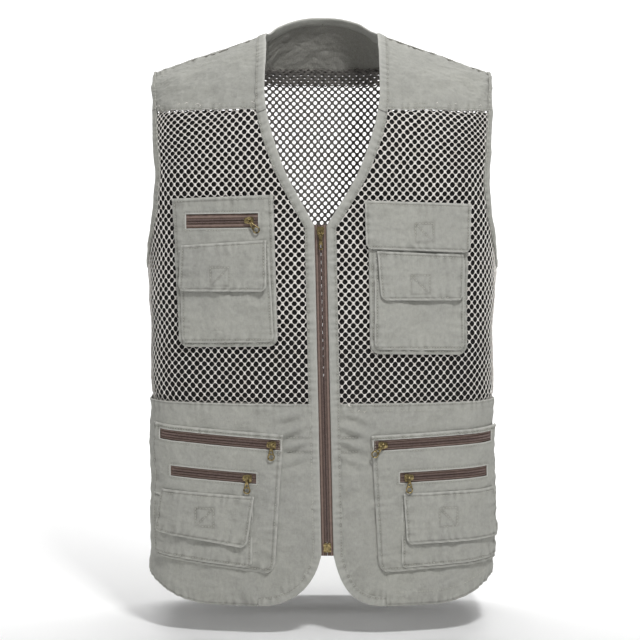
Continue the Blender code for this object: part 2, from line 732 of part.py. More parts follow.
def add_main_zip():
    """The separating zip: a tape with its coil on each front, slider, pull, retainer box and pin."""
    base = -0.0010
    stop = ZIP_BOTTOM + 0.0115
    heights = (stop, -0.50, -0.42, -0.32, ZIP_TOP)
    coil = (COIL_HALF - SLOT_HALF) / (FRONT_GAP - GAP - SLOT_HALF)
    for side, word in SIDES:
        edge = [(zip_line(z) + side * SLOT_HALF, z) for z in heights]
        far = [(zip_line(z) + side * (FRONT_GAP - GAP), z) for z in heights]
        tape = sheet(
            f"main_zip_tape_{word}", edge, far, base, TAPE, zip_tape, shares=[0, coil, coil + 0.1, 1],
            raised=lambda row, column: COIL_RISE if column < 2 else 0,
        )
        attach(fronts[side], tape)
    lean = math.atan(ZIP_LEAN)
    top = ZIP_TOP - 0.0065
    place = frame_at(zip_line(top), top, base, lean)
    blocks = slider_blocks(0.0110, SLIDER_HALF, upright=True)
    for x in (-0.0033, 0.0033):
        blocks.append(((x, -FRONT_FACE - 0.0016, -MAIN_PULL_DROP), (0.0009, 0.0034, 0.0026)))
    blocks.append(((0, -PIVOT_OUT, -MAIN_PULL_DROP), (0.0074, 0.0011, 0.0011)))
    slider = add("main_zip_slider", united("main_slider", blocks), brass)
    slider.matrix_world = place
    tail = circle(0.0021, (0, 0), -65, 245, 14)
    tail += [(tail[-1][0], -MAIN_PULL_LENGTH), (tail[0][0], -MAIN_PULL_LENGTH)]
    strap = flat_shape("main_pull", [tail, circle(0.0011, (0, 0), 0, 330, 11)], 0.0046)
    axes = Matrix(((0, 0, 1), (1, 0, 0), (0, 1, 0))).to_4x4()
    strap.transform(axes)
    pull = add("main_zip_pull", strap, brass)
    pull.matrix_world = place @ Matrix.Translation((0, -PIVOT_OUT, -MAIN_PULL_DROP))

    low = ZIP_BOTTOM + 0.0052
    place = frame_at(zip_line(low), low, base, lean)
    deep, wall, tall, wide = 0.0034, 0.0007, 0.0100, 0.0086
    middle = -0.0002
    box = [
        ((0, middle - deep / 2, 0), (wide, wall, tall)),
        ((0, middle + deep / 2, 0), (wide, wall, tall)),
        ((wide / 4 + 0.0002, middle, 0), (wide / 2 - 0.0004, deep, tall)),
        ((-wide / 2 + wall / 2, middle, 0), (wall, deep, tall)),
        ((0, middle, -tall / 2 + wall / 2), (wide, deep, wall)),
    ]
    holder = add("zip_retainer_box", united("retainer_box", box), brass)
    holder.matrix_world = place
    rod = [((-0.0017, middle, 0.0010), (0.0022, 0.0014, 0.0100))]
    rod.append(((-0.0017, middle, 0.0015), (0.0012, 0.0018, 0.0050)))
    pin = add("zip_insertion_pin", united("insertion_pin", rod), brass)
    pin.matrix_world = place
    attach(fronts[1], slider, pull, holder)
    attach(fronts[-1], pin)


# ---------------------------------------------------------------- the vest

SIDES = ((1, "left"), (-1, "right"))

# Corners are (distance from the centre plane, z), and zips run from their inner to their outer end
CHEST_ZIP = ((0.0705, -0.2160), (0.1515, -0.2174))
CHEST_ZIP_HALF = 0.0080
LONG_ZIP = {"right": ((0.0460, -0.4670), (0.1820, -0.4580)), "left": ((0.0573, -0.4675), (0.1900, -0.4620))}
SHORT_ZIP = {"right": ((0.0730, -0.5050), (0.1700, -0.4993)), "left": ((0.0864, -0.5043), (0.1850, -0.5012))}
LOWER_ZIP_HALF = 0.0058
CARGO = {
    "right": ((0.0430, -0.4550), (0.1900, -0.4455), (0.0528, -0.6120), (0.1900, -0.5990)),
    "left": ((0.0545, -0.4565), (0.1965, -0.4500), (0.0635, -0.6115), (0.1965, -0.6050)),
}
CARGO_PLY = {
    "right": ((0.0765, -0.5300), (0.1880, -0.5260), (0.0783, -0.6060), (0.1880, -0.5950)),
    "left": ((0.0880, -0.5280), (0.1945, -0.5260), (0.0885, -0.6065), (0.1945, -0.6010)),
}
CARGO_FLAP = {
    "right": ((0.0749, -0.5249), (0.1780, -0.5204), (0.0830, -0.5823), (0.1840, -0.5700)),
    "left": ((0.0900, -0.5219), (0.1905, -0.5204), (0.0933, -0.5792), (0.1940, -0.5770)),
}
CARGO_PAD = {"right": (0.1300, -0.5500), "left": (0.1400, -0.5500)}
PULL_TURN = {"long_left": math.radians(45), "chest": math.radians(-40)}


def add_cargo_pocket(side, word):
    """A lower side's pockets: one behind a long zip, one behind a short zip, one under a flap."""
    face = pocket(f"cargo_pocket_{word}", side, outline(side, *CARGO[word], radius=0.012), True)
    turn = PULL_TURN["long_left"] if word == "left" else 0.0
    add_pocket_zip(f"long_zip_{word}", side, LONG_ZIP[word], LOWER_ZIP_HALF, face, turn)
    add_pocket_zip(f"short_zip_{word}", side, SHORT_ZIP[word], LOWER_ZIP_HALF, face)
    outer = ply(f"cargo_outer_pocket_{word}", side, outline(side, *CARGO_PLY[word], radius=0.006, rows=2))
    add_flap(f"cargo_flap_{word}", side, CARGO_FLAP[word], CARGO_PAD[word], PLY_OUT, outer, 0.0020)


def add_right_chest_pocket():
    """The zipped chest pocket, with a second pocket under a flap."""
    corners = ((0.0541, -0.1876), (0.1674, -0.1919), (0.0489, -0.3567), (0.1600, -0.3585))
    face = pocket("chest_pocket_right", -1, outline(-1, *corners, radius=0.011), True)
    add_pocket_zip("chest_zip", -1, CHEST_ZIP, CHEST_ZIP_HALF, face, PULL_TURN["chest"])
    front = ((0.0590, -0.2430), (0.1590, -0.2500), (0.0530, -0.3515), (0.1560, -0.3535))
    outer = ply("chest_outer_pocket_right", -1, outline(-1, *front, radius=0.008, rows=2))
    flap = ((0.0612, -0.2380), (0.1560, -0.2441), (0.0607, -0.2950), (0.1587, -0.2955))
    add_flap("chest_flap_right", -1, flap, (0.1120, -0.2787), PLY_OUT, outer, 0.0020)


def add_left_chest_pocket():
    """The chest pocket with two flaps, the upper one on its mouth and the lower on a second pocket."""
    corners = ((0.0505, -0.2000), (0.1630, -0.2035), (0.0534, -0.3652), (0.1625, -0.3672))
    face = pocket("chest_pocket_left", 1, outline(1, *corners, radius=0.011), False)
    front = ((0.0580, -0.2570), (0.1585, -0.2610), (0.0575, -0.3600), (0.1585, -0.3620))
    outer = ply("chest_outer_pocket_left", 1, outline(1, *front, radius=0.008, rows=2))
    upper = ((0.0465, -0.1939), (0.1648, -0.1977), (0.0478, -0.2477), (0.1635, -0.2521))
    lower = ((0.0599, -0.2501), (0.1568, -0.2546), (0.0645, -0.3048), (0.1555, -0.3056))
    add_flap("chest_flap_left_upper", 1, upper, (0.1124, -0.2300), POCKET_OUT, face, 0.0040)
    add_flap("chest_flap_left_lower", 1, lower, (0.1075, -0.2875), PLY_OUT, outer, 0.0020)


clear_scene()
parts = collection("fishing_vest")
cutters = collection("cutters", hidden=True)
cloth = material("khaki_cotton", (0.40, 0.40, 0.36), 0.9)
trim = material("binding", (0.43, 0.43, 0.38), 0.9)
mesh_cloth = material("knitted_mesh", (0.55, 0.55, 0.50), 0.9)
lining_cloth = material("dark_lining", (0.02, 0.02, 0.02), 0.95)
zip_tape = material("brown_zip_tape", (0.13, 0.09, 0.08), 0.8)
brass = material("antique_brass", (0.35, 0.27, 0.14), 0.35, 1.0)
hook = material("hook_and_loop", (0.30, 0.30, 0.27), 0.95)

pocket_slider, pocket_pull = make_pocket_slider(), make_pocket_pull()
fronts = {side: pivot(f"front_{word}_swing", (side * HALF_WIDTH, 0, 0)) for side, word in SIDES}
add_shoulders()
add_back()
for side, word in SIDES:
    add_front(side, word)
    add_cargo_pocket(side, word)
add_right_chest_pocket()
add_left_chest_pocket()
add_main_zip()
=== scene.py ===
"""The look of a fishing vest: knitted net, washed cotton, bound edges, zips and flapped pockets.

Every cloth piece is laid on the body form that the CAD solids are laid on. A place on the form is
(across, up): the distance round the body from the centre line, and the height along the cloth, which
runs up the front, over the shoulder ridge and down the back. Metres throughout.
"""

import math

import bmesh
import bpy
import numpy as np
from mathutils import Matrix, Vector


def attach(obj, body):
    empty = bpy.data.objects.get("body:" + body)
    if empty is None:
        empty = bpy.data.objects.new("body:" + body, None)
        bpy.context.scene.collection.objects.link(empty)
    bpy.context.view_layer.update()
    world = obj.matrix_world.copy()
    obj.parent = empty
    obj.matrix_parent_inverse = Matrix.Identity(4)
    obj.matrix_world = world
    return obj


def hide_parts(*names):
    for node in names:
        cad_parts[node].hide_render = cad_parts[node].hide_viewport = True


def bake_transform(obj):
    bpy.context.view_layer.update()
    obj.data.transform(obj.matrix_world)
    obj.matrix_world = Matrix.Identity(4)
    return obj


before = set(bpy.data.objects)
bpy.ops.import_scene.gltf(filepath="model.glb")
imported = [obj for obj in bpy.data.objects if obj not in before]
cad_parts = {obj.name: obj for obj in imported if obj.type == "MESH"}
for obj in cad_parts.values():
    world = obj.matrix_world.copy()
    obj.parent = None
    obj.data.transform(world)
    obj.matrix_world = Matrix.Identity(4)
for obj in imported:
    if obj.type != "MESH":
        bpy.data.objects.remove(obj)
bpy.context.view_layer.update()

# Body form
HALF_WIDTH = 0.198
DEPTH = 0.128
SIDE_RADIUS = 0.060
SIDE_FLAT = 0.045
CHEST_LINE = -0.160
UPPER_SPAN = 0.150
NECK_HALF_WIDTH = 0.0645
NECK_RISE = 0.050
NECK_ARCH = 2.2
RIDGE_ROUND = 0.0015
BACK_NECK_TURN = 0.49
SHOULDER_HALF_WIDTH = 0.195
SHOULDER_DROP = 0.045
FLARE = 0.0075
FLARE_WIDTH = 0.045
FLARE_HEIGHT = 0.05
FRONT_TURN = 2 * math.atan((DEPTH - SIDE_FLAT - SIDE_RADIUS) / (HALF_WIDTH - SIDE_RADIUS))
FRONT_RADIUS = SIDE_RADIUS + (HALF_WIDTH - SIDE_RADIUS) / math.sin(FRONT_TURN)
FRONT_SPAN = FRONT_RADIUS * FRONT_TURN
SEAM = FRONT_SPAN + SIDE_RADIUS * (math.pi / 2 - FRONT_TURN) + SIDE_FLAT
RIDGE = CHEST_LINE + UPPER_SPAN * math.pi / 2

# Seams, as heights
YOKE_SEAM = -0.092
BACK_YOKE_SEAM = -0.040
LOWER_SEAM = -0.421
ARMHOLE_BOTTOM = -0.262
HEM = -0.650
SIDE_HEM = -0.622
SHOULDER_SEAM_TURN = math.radians(78)

# Main zip
ZIP_TOP = -0.222
ZIP_BOTTOM = -0.588
ZIP_TOP_ACROSS = -0.002
ZIP_LEAN = 0.0216
FRONT_GAP = 0.0066
MAIN_TAPE_OUT = -0.0010

# Cloth
BINDING_WIDTH = 0.011
HIDDEN = 0.004
NET_HIDDEN = 0.006
PAST_SEAM = 0.003
ARM_SPLIT = 0.0014
SIDE_SPLIT = 0.0010
PANEL = 0.0012
POCKET_OUT = 0.0042
PLY_OUT = 0.0058
LINING_OUT = -0.0024
LINING_INSET = 0.0050
SIDE_TAPE_OUT = -0.0019
HOOK_RISE = 0.0016
FLAP_RISE = 0.0029
POCKET_TAPE_OUT = 0.0040
ZIP_STOP = 0.004
SLIDER_LENGTH = 0.0105
SLIDER_BAND = 0.013
PAD_SEAM = 0.0105
HOOK_PAD_HALF = 0.0107
LOOP_PAD_HALF = 0.0115
COIL_PITCH = 0.00125
COIL_SIZE = (0.00045, 0.0009)
PIVOT_OUT = 0.0050
PIVOT_DROP = 0.0020
# Limits of the mark of wear and painted light: below 0 painted shade, above 0 rubbed wear and painted
# highlight.
WEAR_AND_PAINTED_LIGHT_LIMITS = (-0.6, 0.85)

# Knitted net
NET_PITCH = 0.0087
NET_ROW = 0.0049
NET_HOLE = (0.00280, 0.00308)
BACK_NET_HOLE = (0.00222, 0.00245)
FOLD_NET_HOLE = (0.0015, 0.0018)

SIDES = ((1, "left"), (-1, "right"))


# ---------------------------------------------------------------- body form

def section(across):
    """The x and the depth from the side seams at a distance round the body."""
    far = np.abs(across)
    turn = far / FRONT_RADIUS
    bend = FRONT_TURN + (far - FRONT_SPAN) / SIDE_RADIUS
    front, flat = far <= FRONT_SPAN, far > SEAM - SIDE_FLAT
    x = np.where(front, FRONT_RADIUS * np.sin(turn), HALF_WIDTH - SIDE_RADIUS * (1 - np.sin(bend)))
    depth = np.where(front, DEPTH - FRONT_RADIUS * (1 - np.cos(turn)), SIDE_FLAT + SIDE_RADIUS * np.cos(bend))
    return np.sign(across) * np.where(flat, HALF_WIDTH, x), np.where(flat, SEAM - far, depth)


def across_at(x):
    """The distance round the body from the centre line to the point with this x."""
    side, x = (1 if x >= 0 else -1), abs(x)
    if x <= FRONT_RADIUS * math.sin(FRONT_TURN):
        return side * FRONT_RADIUS * math.asin(x / FRONT_RADIUS)
    turn = math.asin(1 - (HALF_WIDTH - x) / SIDE_RADIUS)
    return side * (FRONT_SPAN + SIDE_RADIUS * (turn - FRONT_TURN))


def ridge_height(x):
    """The height of the shoulder ridge, which arches up to the back of the neck near the centre."""
    neck = NECK_RISE * (1 - (np.abs(x) / NECK_HALF_WIDTH) ** NECK_ARCH)
    shoulder = SHOULDER_DROP * (NECK_HALF_WIDTH - np.abs(x)) / (SHOULDER_HALF_WIDTH - NECK_HALF_WIDTH)
    return (neck + shoulder) / 2 + np.hypot((neck - shoulder) / 2, RIDGE_ROUND)


def body_point(across, up):
    across, up = np.broadcast_arrays(np.asarray(across, float), np.asarray(up, float))
    x, depth = section(across)
    turn = np.clip((up - CHEST_LINE) / UPPER_SPAN, 0, math.pi)
    z = CHEST_LINE + (ridge_height(x) - CHEST_LINE) * np.sin(turn)
    z = np.where(turn <= 0, up, np.where(turn >= math.pi, 2 * RIDGE - up, z))
    return np.stack([x, -depth * np.cos(turn), z], -1)


def outward(across, up, step=2e-4):
    along = body_point(across + step, up) - body_point(across - step, up)
    rise = body_point(across, up + step) - body_point(across, up - step)
    normal = np.cross(along, rise)
    return normal / np.linalg.norm(normal, axis=-1, keepdims=True)


def laid(across, up, out=0.0):
    """The points that lie this far outside the form, which flares a little below the armholes."""
    across, up = np.asarray(across, float), np.asarray(up, float)
    points = body_point(across, up)
    beside_seam = (np.abs(across) - SEAM) / FLARE_WIDTH
    below_arm = (points[..., 2] - ARMHOLE_BOTTOM) / FLARE_HEIGHT
    flare = FLARE * np.exp(-(beside_seam ** 2) - below_arm ** 2)
    return points + (out + flare)[..., None] * outward(across, up)


def front_up(z, across):
    """The height along the front cloth of the points at height z."""
    rise = ridge_height(section(np.asarray(across, float))[0]) - CHEST_LINE
    above = UPPER_SPAN * np.arcsin(np.clip((z - CHEST_LINE) / rise, 0, 1))
    return np.where(z <= CHEST_LINE, z, CHEST_LINE + above)


def back(curve):
    """The points of the back that mirror points of the front."""
    return np.stack([curve[..., 0], 2 * RIDGE - curve[..., 1]], -1)


# ---------------------------------------------------------------- curves on the form

def bezier(ends, steps):
    t = np.linspace(0, 1, steps + 1)[:, None]
    p = np.asarray(ends, float)
    return (1 - t) ** 3 * p[0] + 3 * (1 - t) ** 2 * t * p[1] + 3 * (1 - t) * t * t * p[2] + t ** 3 * p[3]


def line(start, end, steps):
    t = np.linspace(0, 1, steps + 1)[:, None]
    return (1 - t) * np.asarray(start, float) + t * np.asarray(end, float)


def joined(*curves):
    """Curves end to end, without the repeated points."""
    return np.concatenate([curves[0]] + [c[1:] for c in curves[1:]])


def lengths(curve):
    return np.concatenate([[0], np.cumsum(np.linalg.norm(np.diff(curve, axis=0), axis=1))])


def picked(curve, places, at):
    """The points at some positions along a curve, whose own points have these places."""
    return np.stack([np.interp(at, places, curve[:, i]) for i in (0, 1)], -1)


def respaced(curve, count):
    far = lengths(curve)
    at = np.linspace(0, far[-1], count)
    return picked(curve, far, at)


def beside(curve, width):
    """The curve moved to its left by width."""
    run = np.gradient(curve, axis=0)
    run /= np.linalg.norm(run, axis=1, keepdims=True)
    return curve + width * np.stack([-run[:, 1], run[:, 0]], -1)


def part_of(curve, low, high):
    """The stretch of a curve, listed from low to high, between two heights."""
    z = body_point(curve[:, 0], curve[:, 1])[:, 2]
    rising = np.maximum.accumulate(z)
    index = np.arange(len(z))
    first, last = np.interp([low, high], rising, index)
    inner = index[(index > first + 1e-6) & (index < last - 1e-6)]
    at = np.concatenate([[first], inner, [last]])
    return picked(curve, index, at)


def sided(curve, side):
    return curve * (side, 1)


def zip_line(z):
    return ZIP_TOP_ACROSS + ZIP_LEAN * (ZIP_TOP - z)


def neck_rows(side):
    """One side's neck edge, from the zip's top up to the shoulder ridge."""
    top = (side * NECK_HALF_WIDTH, float(front_up(-0.070, NECK_HALF_WIDTH)))
    start = (zip_line(ZIP_TOP) + side * FRONT_GAP, ZIP_TOP)
    curve = bezier([start, (side * 0.027, -0.186), (side * 0.064, -0.135), top], 40)
    return joined(curve, line(top, (side * NECK_HALF_WIDTH, RIDGE), 30))


def front_edge(side):
    """One front's edge: round the hem's cut-away corner, up beside the zip and round the neck."""
    above = (zip_line(-0.590) + side * FRONT_GAP, -0.590)
    ends = [(side * 0.070, HEM), (side * 0.036, HEM), (above[0] + side * 0.008, -0.630), above]
    start = neck_rows(side)
    return joined(line((side * 0.072, HEM), ends[0], 2), bezier(ends, 30), line(above, start[0], 60), start)


def back_neck_edge():
    angle = np.radians(np.linspace(0, 90, 31))
    rise = BACK_NECK_TURN * UPPER_SPAN * np.sin(angle)
    return np.stack([NECK_HALF_WIDTH * np.cos(angle), RIDGE + rise], -1)


def armhole():
    """The left armhole's edge, from the side seam's top up the front to the shoulder ridge."""
    lower = bezier([(SEAM, ARMHOLE_BOTTOM), (0.236, ARMHOLE_BOTTOM), (0.204, -0.228), (0.204, -0.165)], 30)
    top = (across_at(0.1965), RIDGE)
    return joined(lower, bezier([(0.204, -0.165), (0.204, -0.110), (0.220, -0.060), top], 60))


def hem_height(across):
    return HEM + (SIDE_HEM - HEM) * smooth((np.abs(across) - 0.13) / 0.11)


def back_yoke_height(across):
    return BACK_YOKE_SEAM - 0.045 * smooth((np.abs(across) - 0.07) / 0.13)


def smooth(t):
    """0 below 0 and 1 above 1, with a soft step between."""
    t = np.clip(t, 0, 1)
    return t * t * (3 - 2 * t)


def peak(distance, reach):
    """1 at no distance, falling away smoothly past reach."""
    return np.exp(-((distance / reach) ** 2))


# ---------------------------------------------------------------- relief of cloth

def waves(across, up, size, seed, octaves=4):
    """Smooth unevenness between about -1 and 1, of folds about size across."""
    draw = np.random.default_rng(seed)
    total = np.zeros(np.broadcast(across, up).shape)
    for octave in range(octaves):
        pace = 2 * math.pi / size * 1.75 ** octave
        for _ in range(3):
            turn, first, second = draw.uniform(0, 2 * math.pi, 3)
            along = across * math.cos(turn) + up * math.sin(turn)
            over = -across * math.sin(turn) + up * math.cos(turn)
            total += np.sin(pace * along + first + 1.4 * np.sin(0.55 * pace * over + second)) / 1.9 ** octave
    return total / 3.2


def creases(across, up, size, seed):
    """Fine sharp-backed folds, as in cotton that was washed and long in use."""
    return 1 - 2 * np.abs(waves(across, up, size, seed, 3)) ** 0.7


def pucker(along, far, pace=0.010, reach=0.008, seed=3):
    """The gathers that a seam pulls into the cloth beside it."""
    turns = 2 * math.pi * along
    wander = 1.5 * np.sin(turns / 0.043 + seed) + 0.8 * np.sin(turns / 0.019 + 2 * seed)
    strength = 0.65 + 0.35 * np.sin(turns / 0.071 + 5 * seed)
    lean = 60 * far * np.sin(turns / 0.057 + 3 * seed)
    return strength * np.sin(turns / pace + wander + lean) * np.exp(-far / reach)


# ---------------------------------------------------------------- meshes

def mesh_object(name, points, faces, look, marks=None):
    mesh = bpy.data.meshes.new(name)
    mesh.from_pydata(np.asarray(points).reshape(-1, 3).tolist(), [], np.asarray(faces).tolist())
    mesh.polygons.foreach_set("use_smooth", [True] * len(mesh.polygons))
    # The mark of wear and painted light, which the cloth and tape looks read.
    if marks is not None:
        wear_and_painted_light = mesh.attributes.new("wear_and_painted_light", "FLOAT", "POINT")
        wear_and_painted_light.data.foreach_set("value", np.asarray(marks, np.float32).ravel())
    made = bpy.data.objects.new(name, mesh)
    bpy.context.scene.collection.objects.link(made)
    mesh.materials.append(look)
    return made


def thick(piece, thickness, inside=None):
    """Gives a sheet its thickness, and another material on its inside if one is named."""
    shell = piece.modifiers.new("thickness", "SOLIDIFY")
    shell.thickness, shell.offset = thickness, -1
    if inside:
        piece.data.materials.append(inside)
        shell.material_offset = shell.material_offset_rim = 1
    return piece


def cut_size(points, left_out=None):
    """The width, length and area of the cloth that a grid of points stands for."""
    width = np.linalg.norm(np.diff(points, axis=1), axis=2).sum(1).max()
    length = np.linalg.norm(np.diff(points, axis=0), axis=2).sum(0).max()
    cell = np.cross(points[1:, 1:] - points[:-1, :-1], points[1:, :-1] - points[:-1, 1:])
    areas = np.linalg.norm(cell, axis=2) / 2
    area = float(areas.sum() if left_out is None else areas[~left_out].sum())
    return [max(float(width), area / float(length)), float(length), area]


def grid_faces(rows, columns):
    start = (np.arange(rows - 1)[:, None] * columns + np.arange(columns - 1)).ravel()
    return np.stack([start, start + 1, start + columns + 1, start + columns], -1)


class Sheet:
    """A grid on the form between two edges, which are lists of (across, up) in matching rows."""

    def __init__(self, left, right, spacing=0.002, bend=None):
        middle = (left + right) / 2
        rows = max(3, int(lengths(middle)[-1] / spacing) + 1)
        columns = max(3, int(np.linalg.norm(right - left, axis=1).max() / spacing) + 1)
        at = np.interp(np.linspace(0, lengths(middle)[-1], rows), lengths(middle), np.arange(len(left)))
        index = np.arange(len(left))
        left, right = picked(left, index, at), picked(right, index, at)
        share = np.linspace(0, 1, columns)[None, :, None]
        grid = left[:, None] * (1 - share) + right[:, None] * share
        self.share = np.broadcast_to(share[..., 0], grid.shape[:2])
        self.row = np.broadcast_to(np.linspace(0, 1, rows)[:, None], grid.shape[:2])
        self.across, self.up = grid[..., 0], grid[..., 1]
        if bend:
            self.across, self.up = bend(self)
        flat = np.stack([self.across, self.up], -1)
        width = np.linalg.norm(np.diff(flat, axis=1), axis=2).sum(1)[:, None]
        length = np.linalg.norm(np.diff(flat, axis=0), axis=2).sum(0)[None, :]
        self.to_left, self.to_right = self.share * width, (1 - self.share) * width
        self.to_start, self.to_end = self.row * length, (1 - self.row) * length

    def edge(self, sides="lrse"):
        """The distance to the nearest of the named edges: left, right, start and end."""
        found = {"l": self.to_left, "r": self.to_right, "s": self.to_start, "e": self.to_end}
        return np.minimum.reduce([found[s] for s in sides])

    def make(self, name, out, look, thickness, wear_and_painted_light=None, inside=None):
        points = laid(self.across, self.up, out + np.zeros(self.across.shape))
        faces = grid_faces(*self.across.shape)
        middle = points[1, 1] - points[0, 0], points[0, 1] - points[1, 0]
        if np.dot(np.cross(*middle), outward(self.across[0, 0], self.up[0, 0])) > 0:
            faces = faces[:, ::-1]
        made = thick(mesh_object(name, points, faces, look, wear_and_painted_light), thickness, inside)
        made["flat"] = cut_size(laid(self.across, self.up))
        return made


def carry(piece, body, blended=False):
    """Rides the piece on a body, or, if it is blended, only bakes its place into its mesh."""
    if blended:
        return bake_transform(piece)
    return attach(piece, body)


def cloth(piece, body, node=None, blended=False):
    """Hides the solid that a sheet of cloth stands for, if one is named, and carries the sheet on its body.
    """
    if node:
        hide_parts(node)
    carry(piece, body, blended)


# ---------------------------------------------------------------- materials

class Look:
    """A node material with a Principled shader."""

    def __init__(self, name, colour, roughness, metallic=0.0):
        self.made = bpy.data.materials.new(name)
        self.made.use_nodes = True
        self.made.diffuse_color = (*colour, 1)
        self.tree = self.made.node_tree
        self.shader = self.tree.nodes["Principled BSDF"]
        self.shader.inputs["Base Color"].default_value = (*colour, 1)
        self.shader.inputs["Roughness"].default_value = roughness
        self.shader.inputs["Metallic"].default_value = metallic
        self.place = self.tree.nodes.new("ShaderNodeTexCoord").outputs["Object"]
        self.bumped = None

    def node(self, kind, **values):
        made = self.tree.nodes.new(kind)
        for name, value in values.items():
            made.inputs[name.replace("_", " ")].default_value = value
        return made

    def link(self, output, target):
        self.tree.links.new(output, target)

    def noise(self, scale, detail=3.0, roughness=0.5, stretch=(1, 1, 1)):
        mapping = self.node("ShaderNodeMapping", Scale=stretch)
        self.link(self.place, mapping.inputs["Vector"])
        made = self.node("ShaderNodeTexNoise", Scale=scale, Detail=detail, Roughness=roughness)
        self.link(mapping.outputs["Vector"], made.inputs["Vector"])
        return made.outputs["Fac"]

    def ramp(self, value, low, high, start=0.3, end=0.7):
        made = self.tree.nodes.new("ShaderNodeValToRGB")
        made.color_ramp.elements[0].position, made.color_ramp.elements[0].color = start, (*low, 1)
        made.color_ramp.elements[1].position, made.color_ramp.elements[1].color = end, (*high, 1)
        self.link(value, made.inputs["Fac"])
        return made.outputs["Color"]

    def mixed(self, share, first, second, way="MIX"):
        made = self.tree.nodes.new("ShaderNodeMix")
        made.data_type, made.blend_type = "RGBA", way
        for value, socket in ((share, 0), (first, 6), (second, 7)):
            if isinstance(value, (tuple, float)):
                made.inputs[socket].default_value = (*value, 1) if isinstance(value, tuple) else value
            else:
                self.link(value, made.inputs[socket])
        return made.outputs[2]

    def colour(self, output):
        self.link(output, self.shader.inputs["Base Color"])

    def bump(self, height, distance, strength=1.0):
        made = self.node("ShaderNodeBump", Strength=strength, Distance=distance)
        self.link(height, made.inputs["Height"])
        if self.bumped:
            self.link(self.bumped, made.inputs["Normal"])
        self.bumped = made.outputs["Normal"]
        self.link(self.bumped, self.shader.inputs["Normal"])

    def scaled(self, value, factor):
        """The value times a factor, kept between 0 and 1."""
        made = self.tree.nodes.new("ShaderNodeMath")
        made.operation, made.use_clamp = "MULTIPLY", True
        self.link(value, made.inputs[0])
        made.inputs[1].default_value = factor
        return made.outputs[0]

    def crease(self, scale, detail):
        """0 along thin wandering lines and more between them."""
        middle = self.tree.nodes.new("ShaderNodeMath")
        middle.operation = "SUBTRACT"
        self.link(self.noise(scale, detail, 0.55), middle.inputs[0])
        middle.inputs[1].default_value = 0.5
        made = self.tree.nodes.new("ShaderNodeMath")
        made.operation = "ABSOLUTE"
        self.link(middle.outputs[0], made.inputs[0])
        return made.outputs[0]

    def mark(self, name):
        made = self.tree.nodes.new("ShaderNodeAttribute")
        made.attribute_name = name
        return made.outputs["Fac"]


def cotton_look(name, dark, light, wear_and_painted_light):
    """Washed plain-weave cotton, paler where its edges rub, with painted shade in its folds, creases and
    seams and painted highlight on its crests.
    """
    look = Look(name, light, 0.92)
    base = look.ramp(look.noise(1, 2.0, 0.6, (900, 900, 190)), dark, light, 0.28, 0.72)
    mottled = look.ramp(look.noise(260, 4.0, 0.7), (0.93, 0.93, 0.93), (1.06, 1.06, 1.05), 0.35, 0.65)
    cloudy = look.ramp(look.noise(14, 5.0, 0.62), (0.94, 0.94, 0.95), (1.04, 1.04, 1.03), 0.32, 0.68)
    base = look.mixed(1.0, look.mixed(1.0, base, cloudy, "MULTIPLY"), mottled, "MULTIPLY")
    # Above 0 the mark pales the cloth: rubbed wear at its edges, and painted highlight on the crests of its
    # creases and puckers.
    base = look.mixed(look.scaled(look.mark("wear_and_painted_light"), 1.0), base, wear_and_painted_light)
    # Below 0 the mark mixes in a near-black colour: painted shade in folds, creases, seam grooves and pucker
    # troughs.
    look.colour(look.mixed(look.scaled(look.mark("wear_and_painted_light"), -1.0), base, PAINTED_FOLD_SHADE))
    look.bump(look.crease(22, 2.5), 0.0034, 0.6)
    look.bump(look.noise(60, 5.0, 0.62), 0.0030, 0.8)
    look.bump(look.noise(1, 2.0, 0.5, (1500, 1500, 700)), 0.00022, 0.8)
    look.shader.inputs["Sheen Weight"].default_value = 0.06
    return look.made


def net_look(name, dark, light):
    """Knitted polyester: soft strands with fine ribs of thread."""
    look = Look(name, light, 0.75)
    look.colour(look.ramp(look.noise(230, 3.0), dark, light, 0.25, 0.6))
    look.bump(look.noise(1300, 3.0, 0.6), 0.0003, 0.9)
    look.shader.inputs["Sheen Weight"].default_value = 0.2
    return look.made


def tape_look():
    """Woven zip tape with a fine rib, with painted shade lines and paler painted bands from its mark."""
    look = Look("zip_tape", (0.165, 0.112, 0.100), 0.8)
    base = look.ramp(look.noise(260, 4.0, 0.6), (0.122, 0.082, 0.066), (0.212, 0.147, 0.118))
    # Above 0 the mark gives paler painted bands of tape; below 0 a near-black painted shade in gaps and along
    # edges.
    base = look.mixed(look.scaled(look.mark("wear_and_painted_light"), 1.0), base, (0.36, 0.265, 0.235))
    look.colour(look.mixed(look.scaled(look.mark("wear_and_painted_light"), -1.0), base, (0.022, 0.013, 0.011)))
    look.bump(look.noise(1, 2.0, 0.5, (420, 420, 2400)), 0.0003, 0.8)
    return look.made


def brass_look():
    """Antique brass, duller and browner where it is seldom touched."""
    look = Look("antique_brass", (0.36, 0.28, 0.13), 0.3, 1.0)
    patina = look.noise(240, 5.0, 0.7)
    look.colour(look.ramp(patina, (0.085, 0.062, 0.032), (0.46, 0.365, 0.175), 0.36, 0.60))
    rough = look.ramp(patina, (0.46, 0.46, 0.46), (0.18, 0.18, 0.18), 0.30, 0.62)
    look.link(rough, look.shader.inputs["Roughness"])
    look.bump(look.noise(900, 3.0), 0.00012, 0.5)
    return look.made


def plain_look(name, low, high, roughness, scale=300.0, relief=0.0003):
    look = Look(name, high, roughness)
    look.colour(look.ramp(look.noise(scale, 4.0, 0.6), low, high))
    look.bump(look.noise(1100, 3.0, 0.6), relief, 0.8)
    return look.made


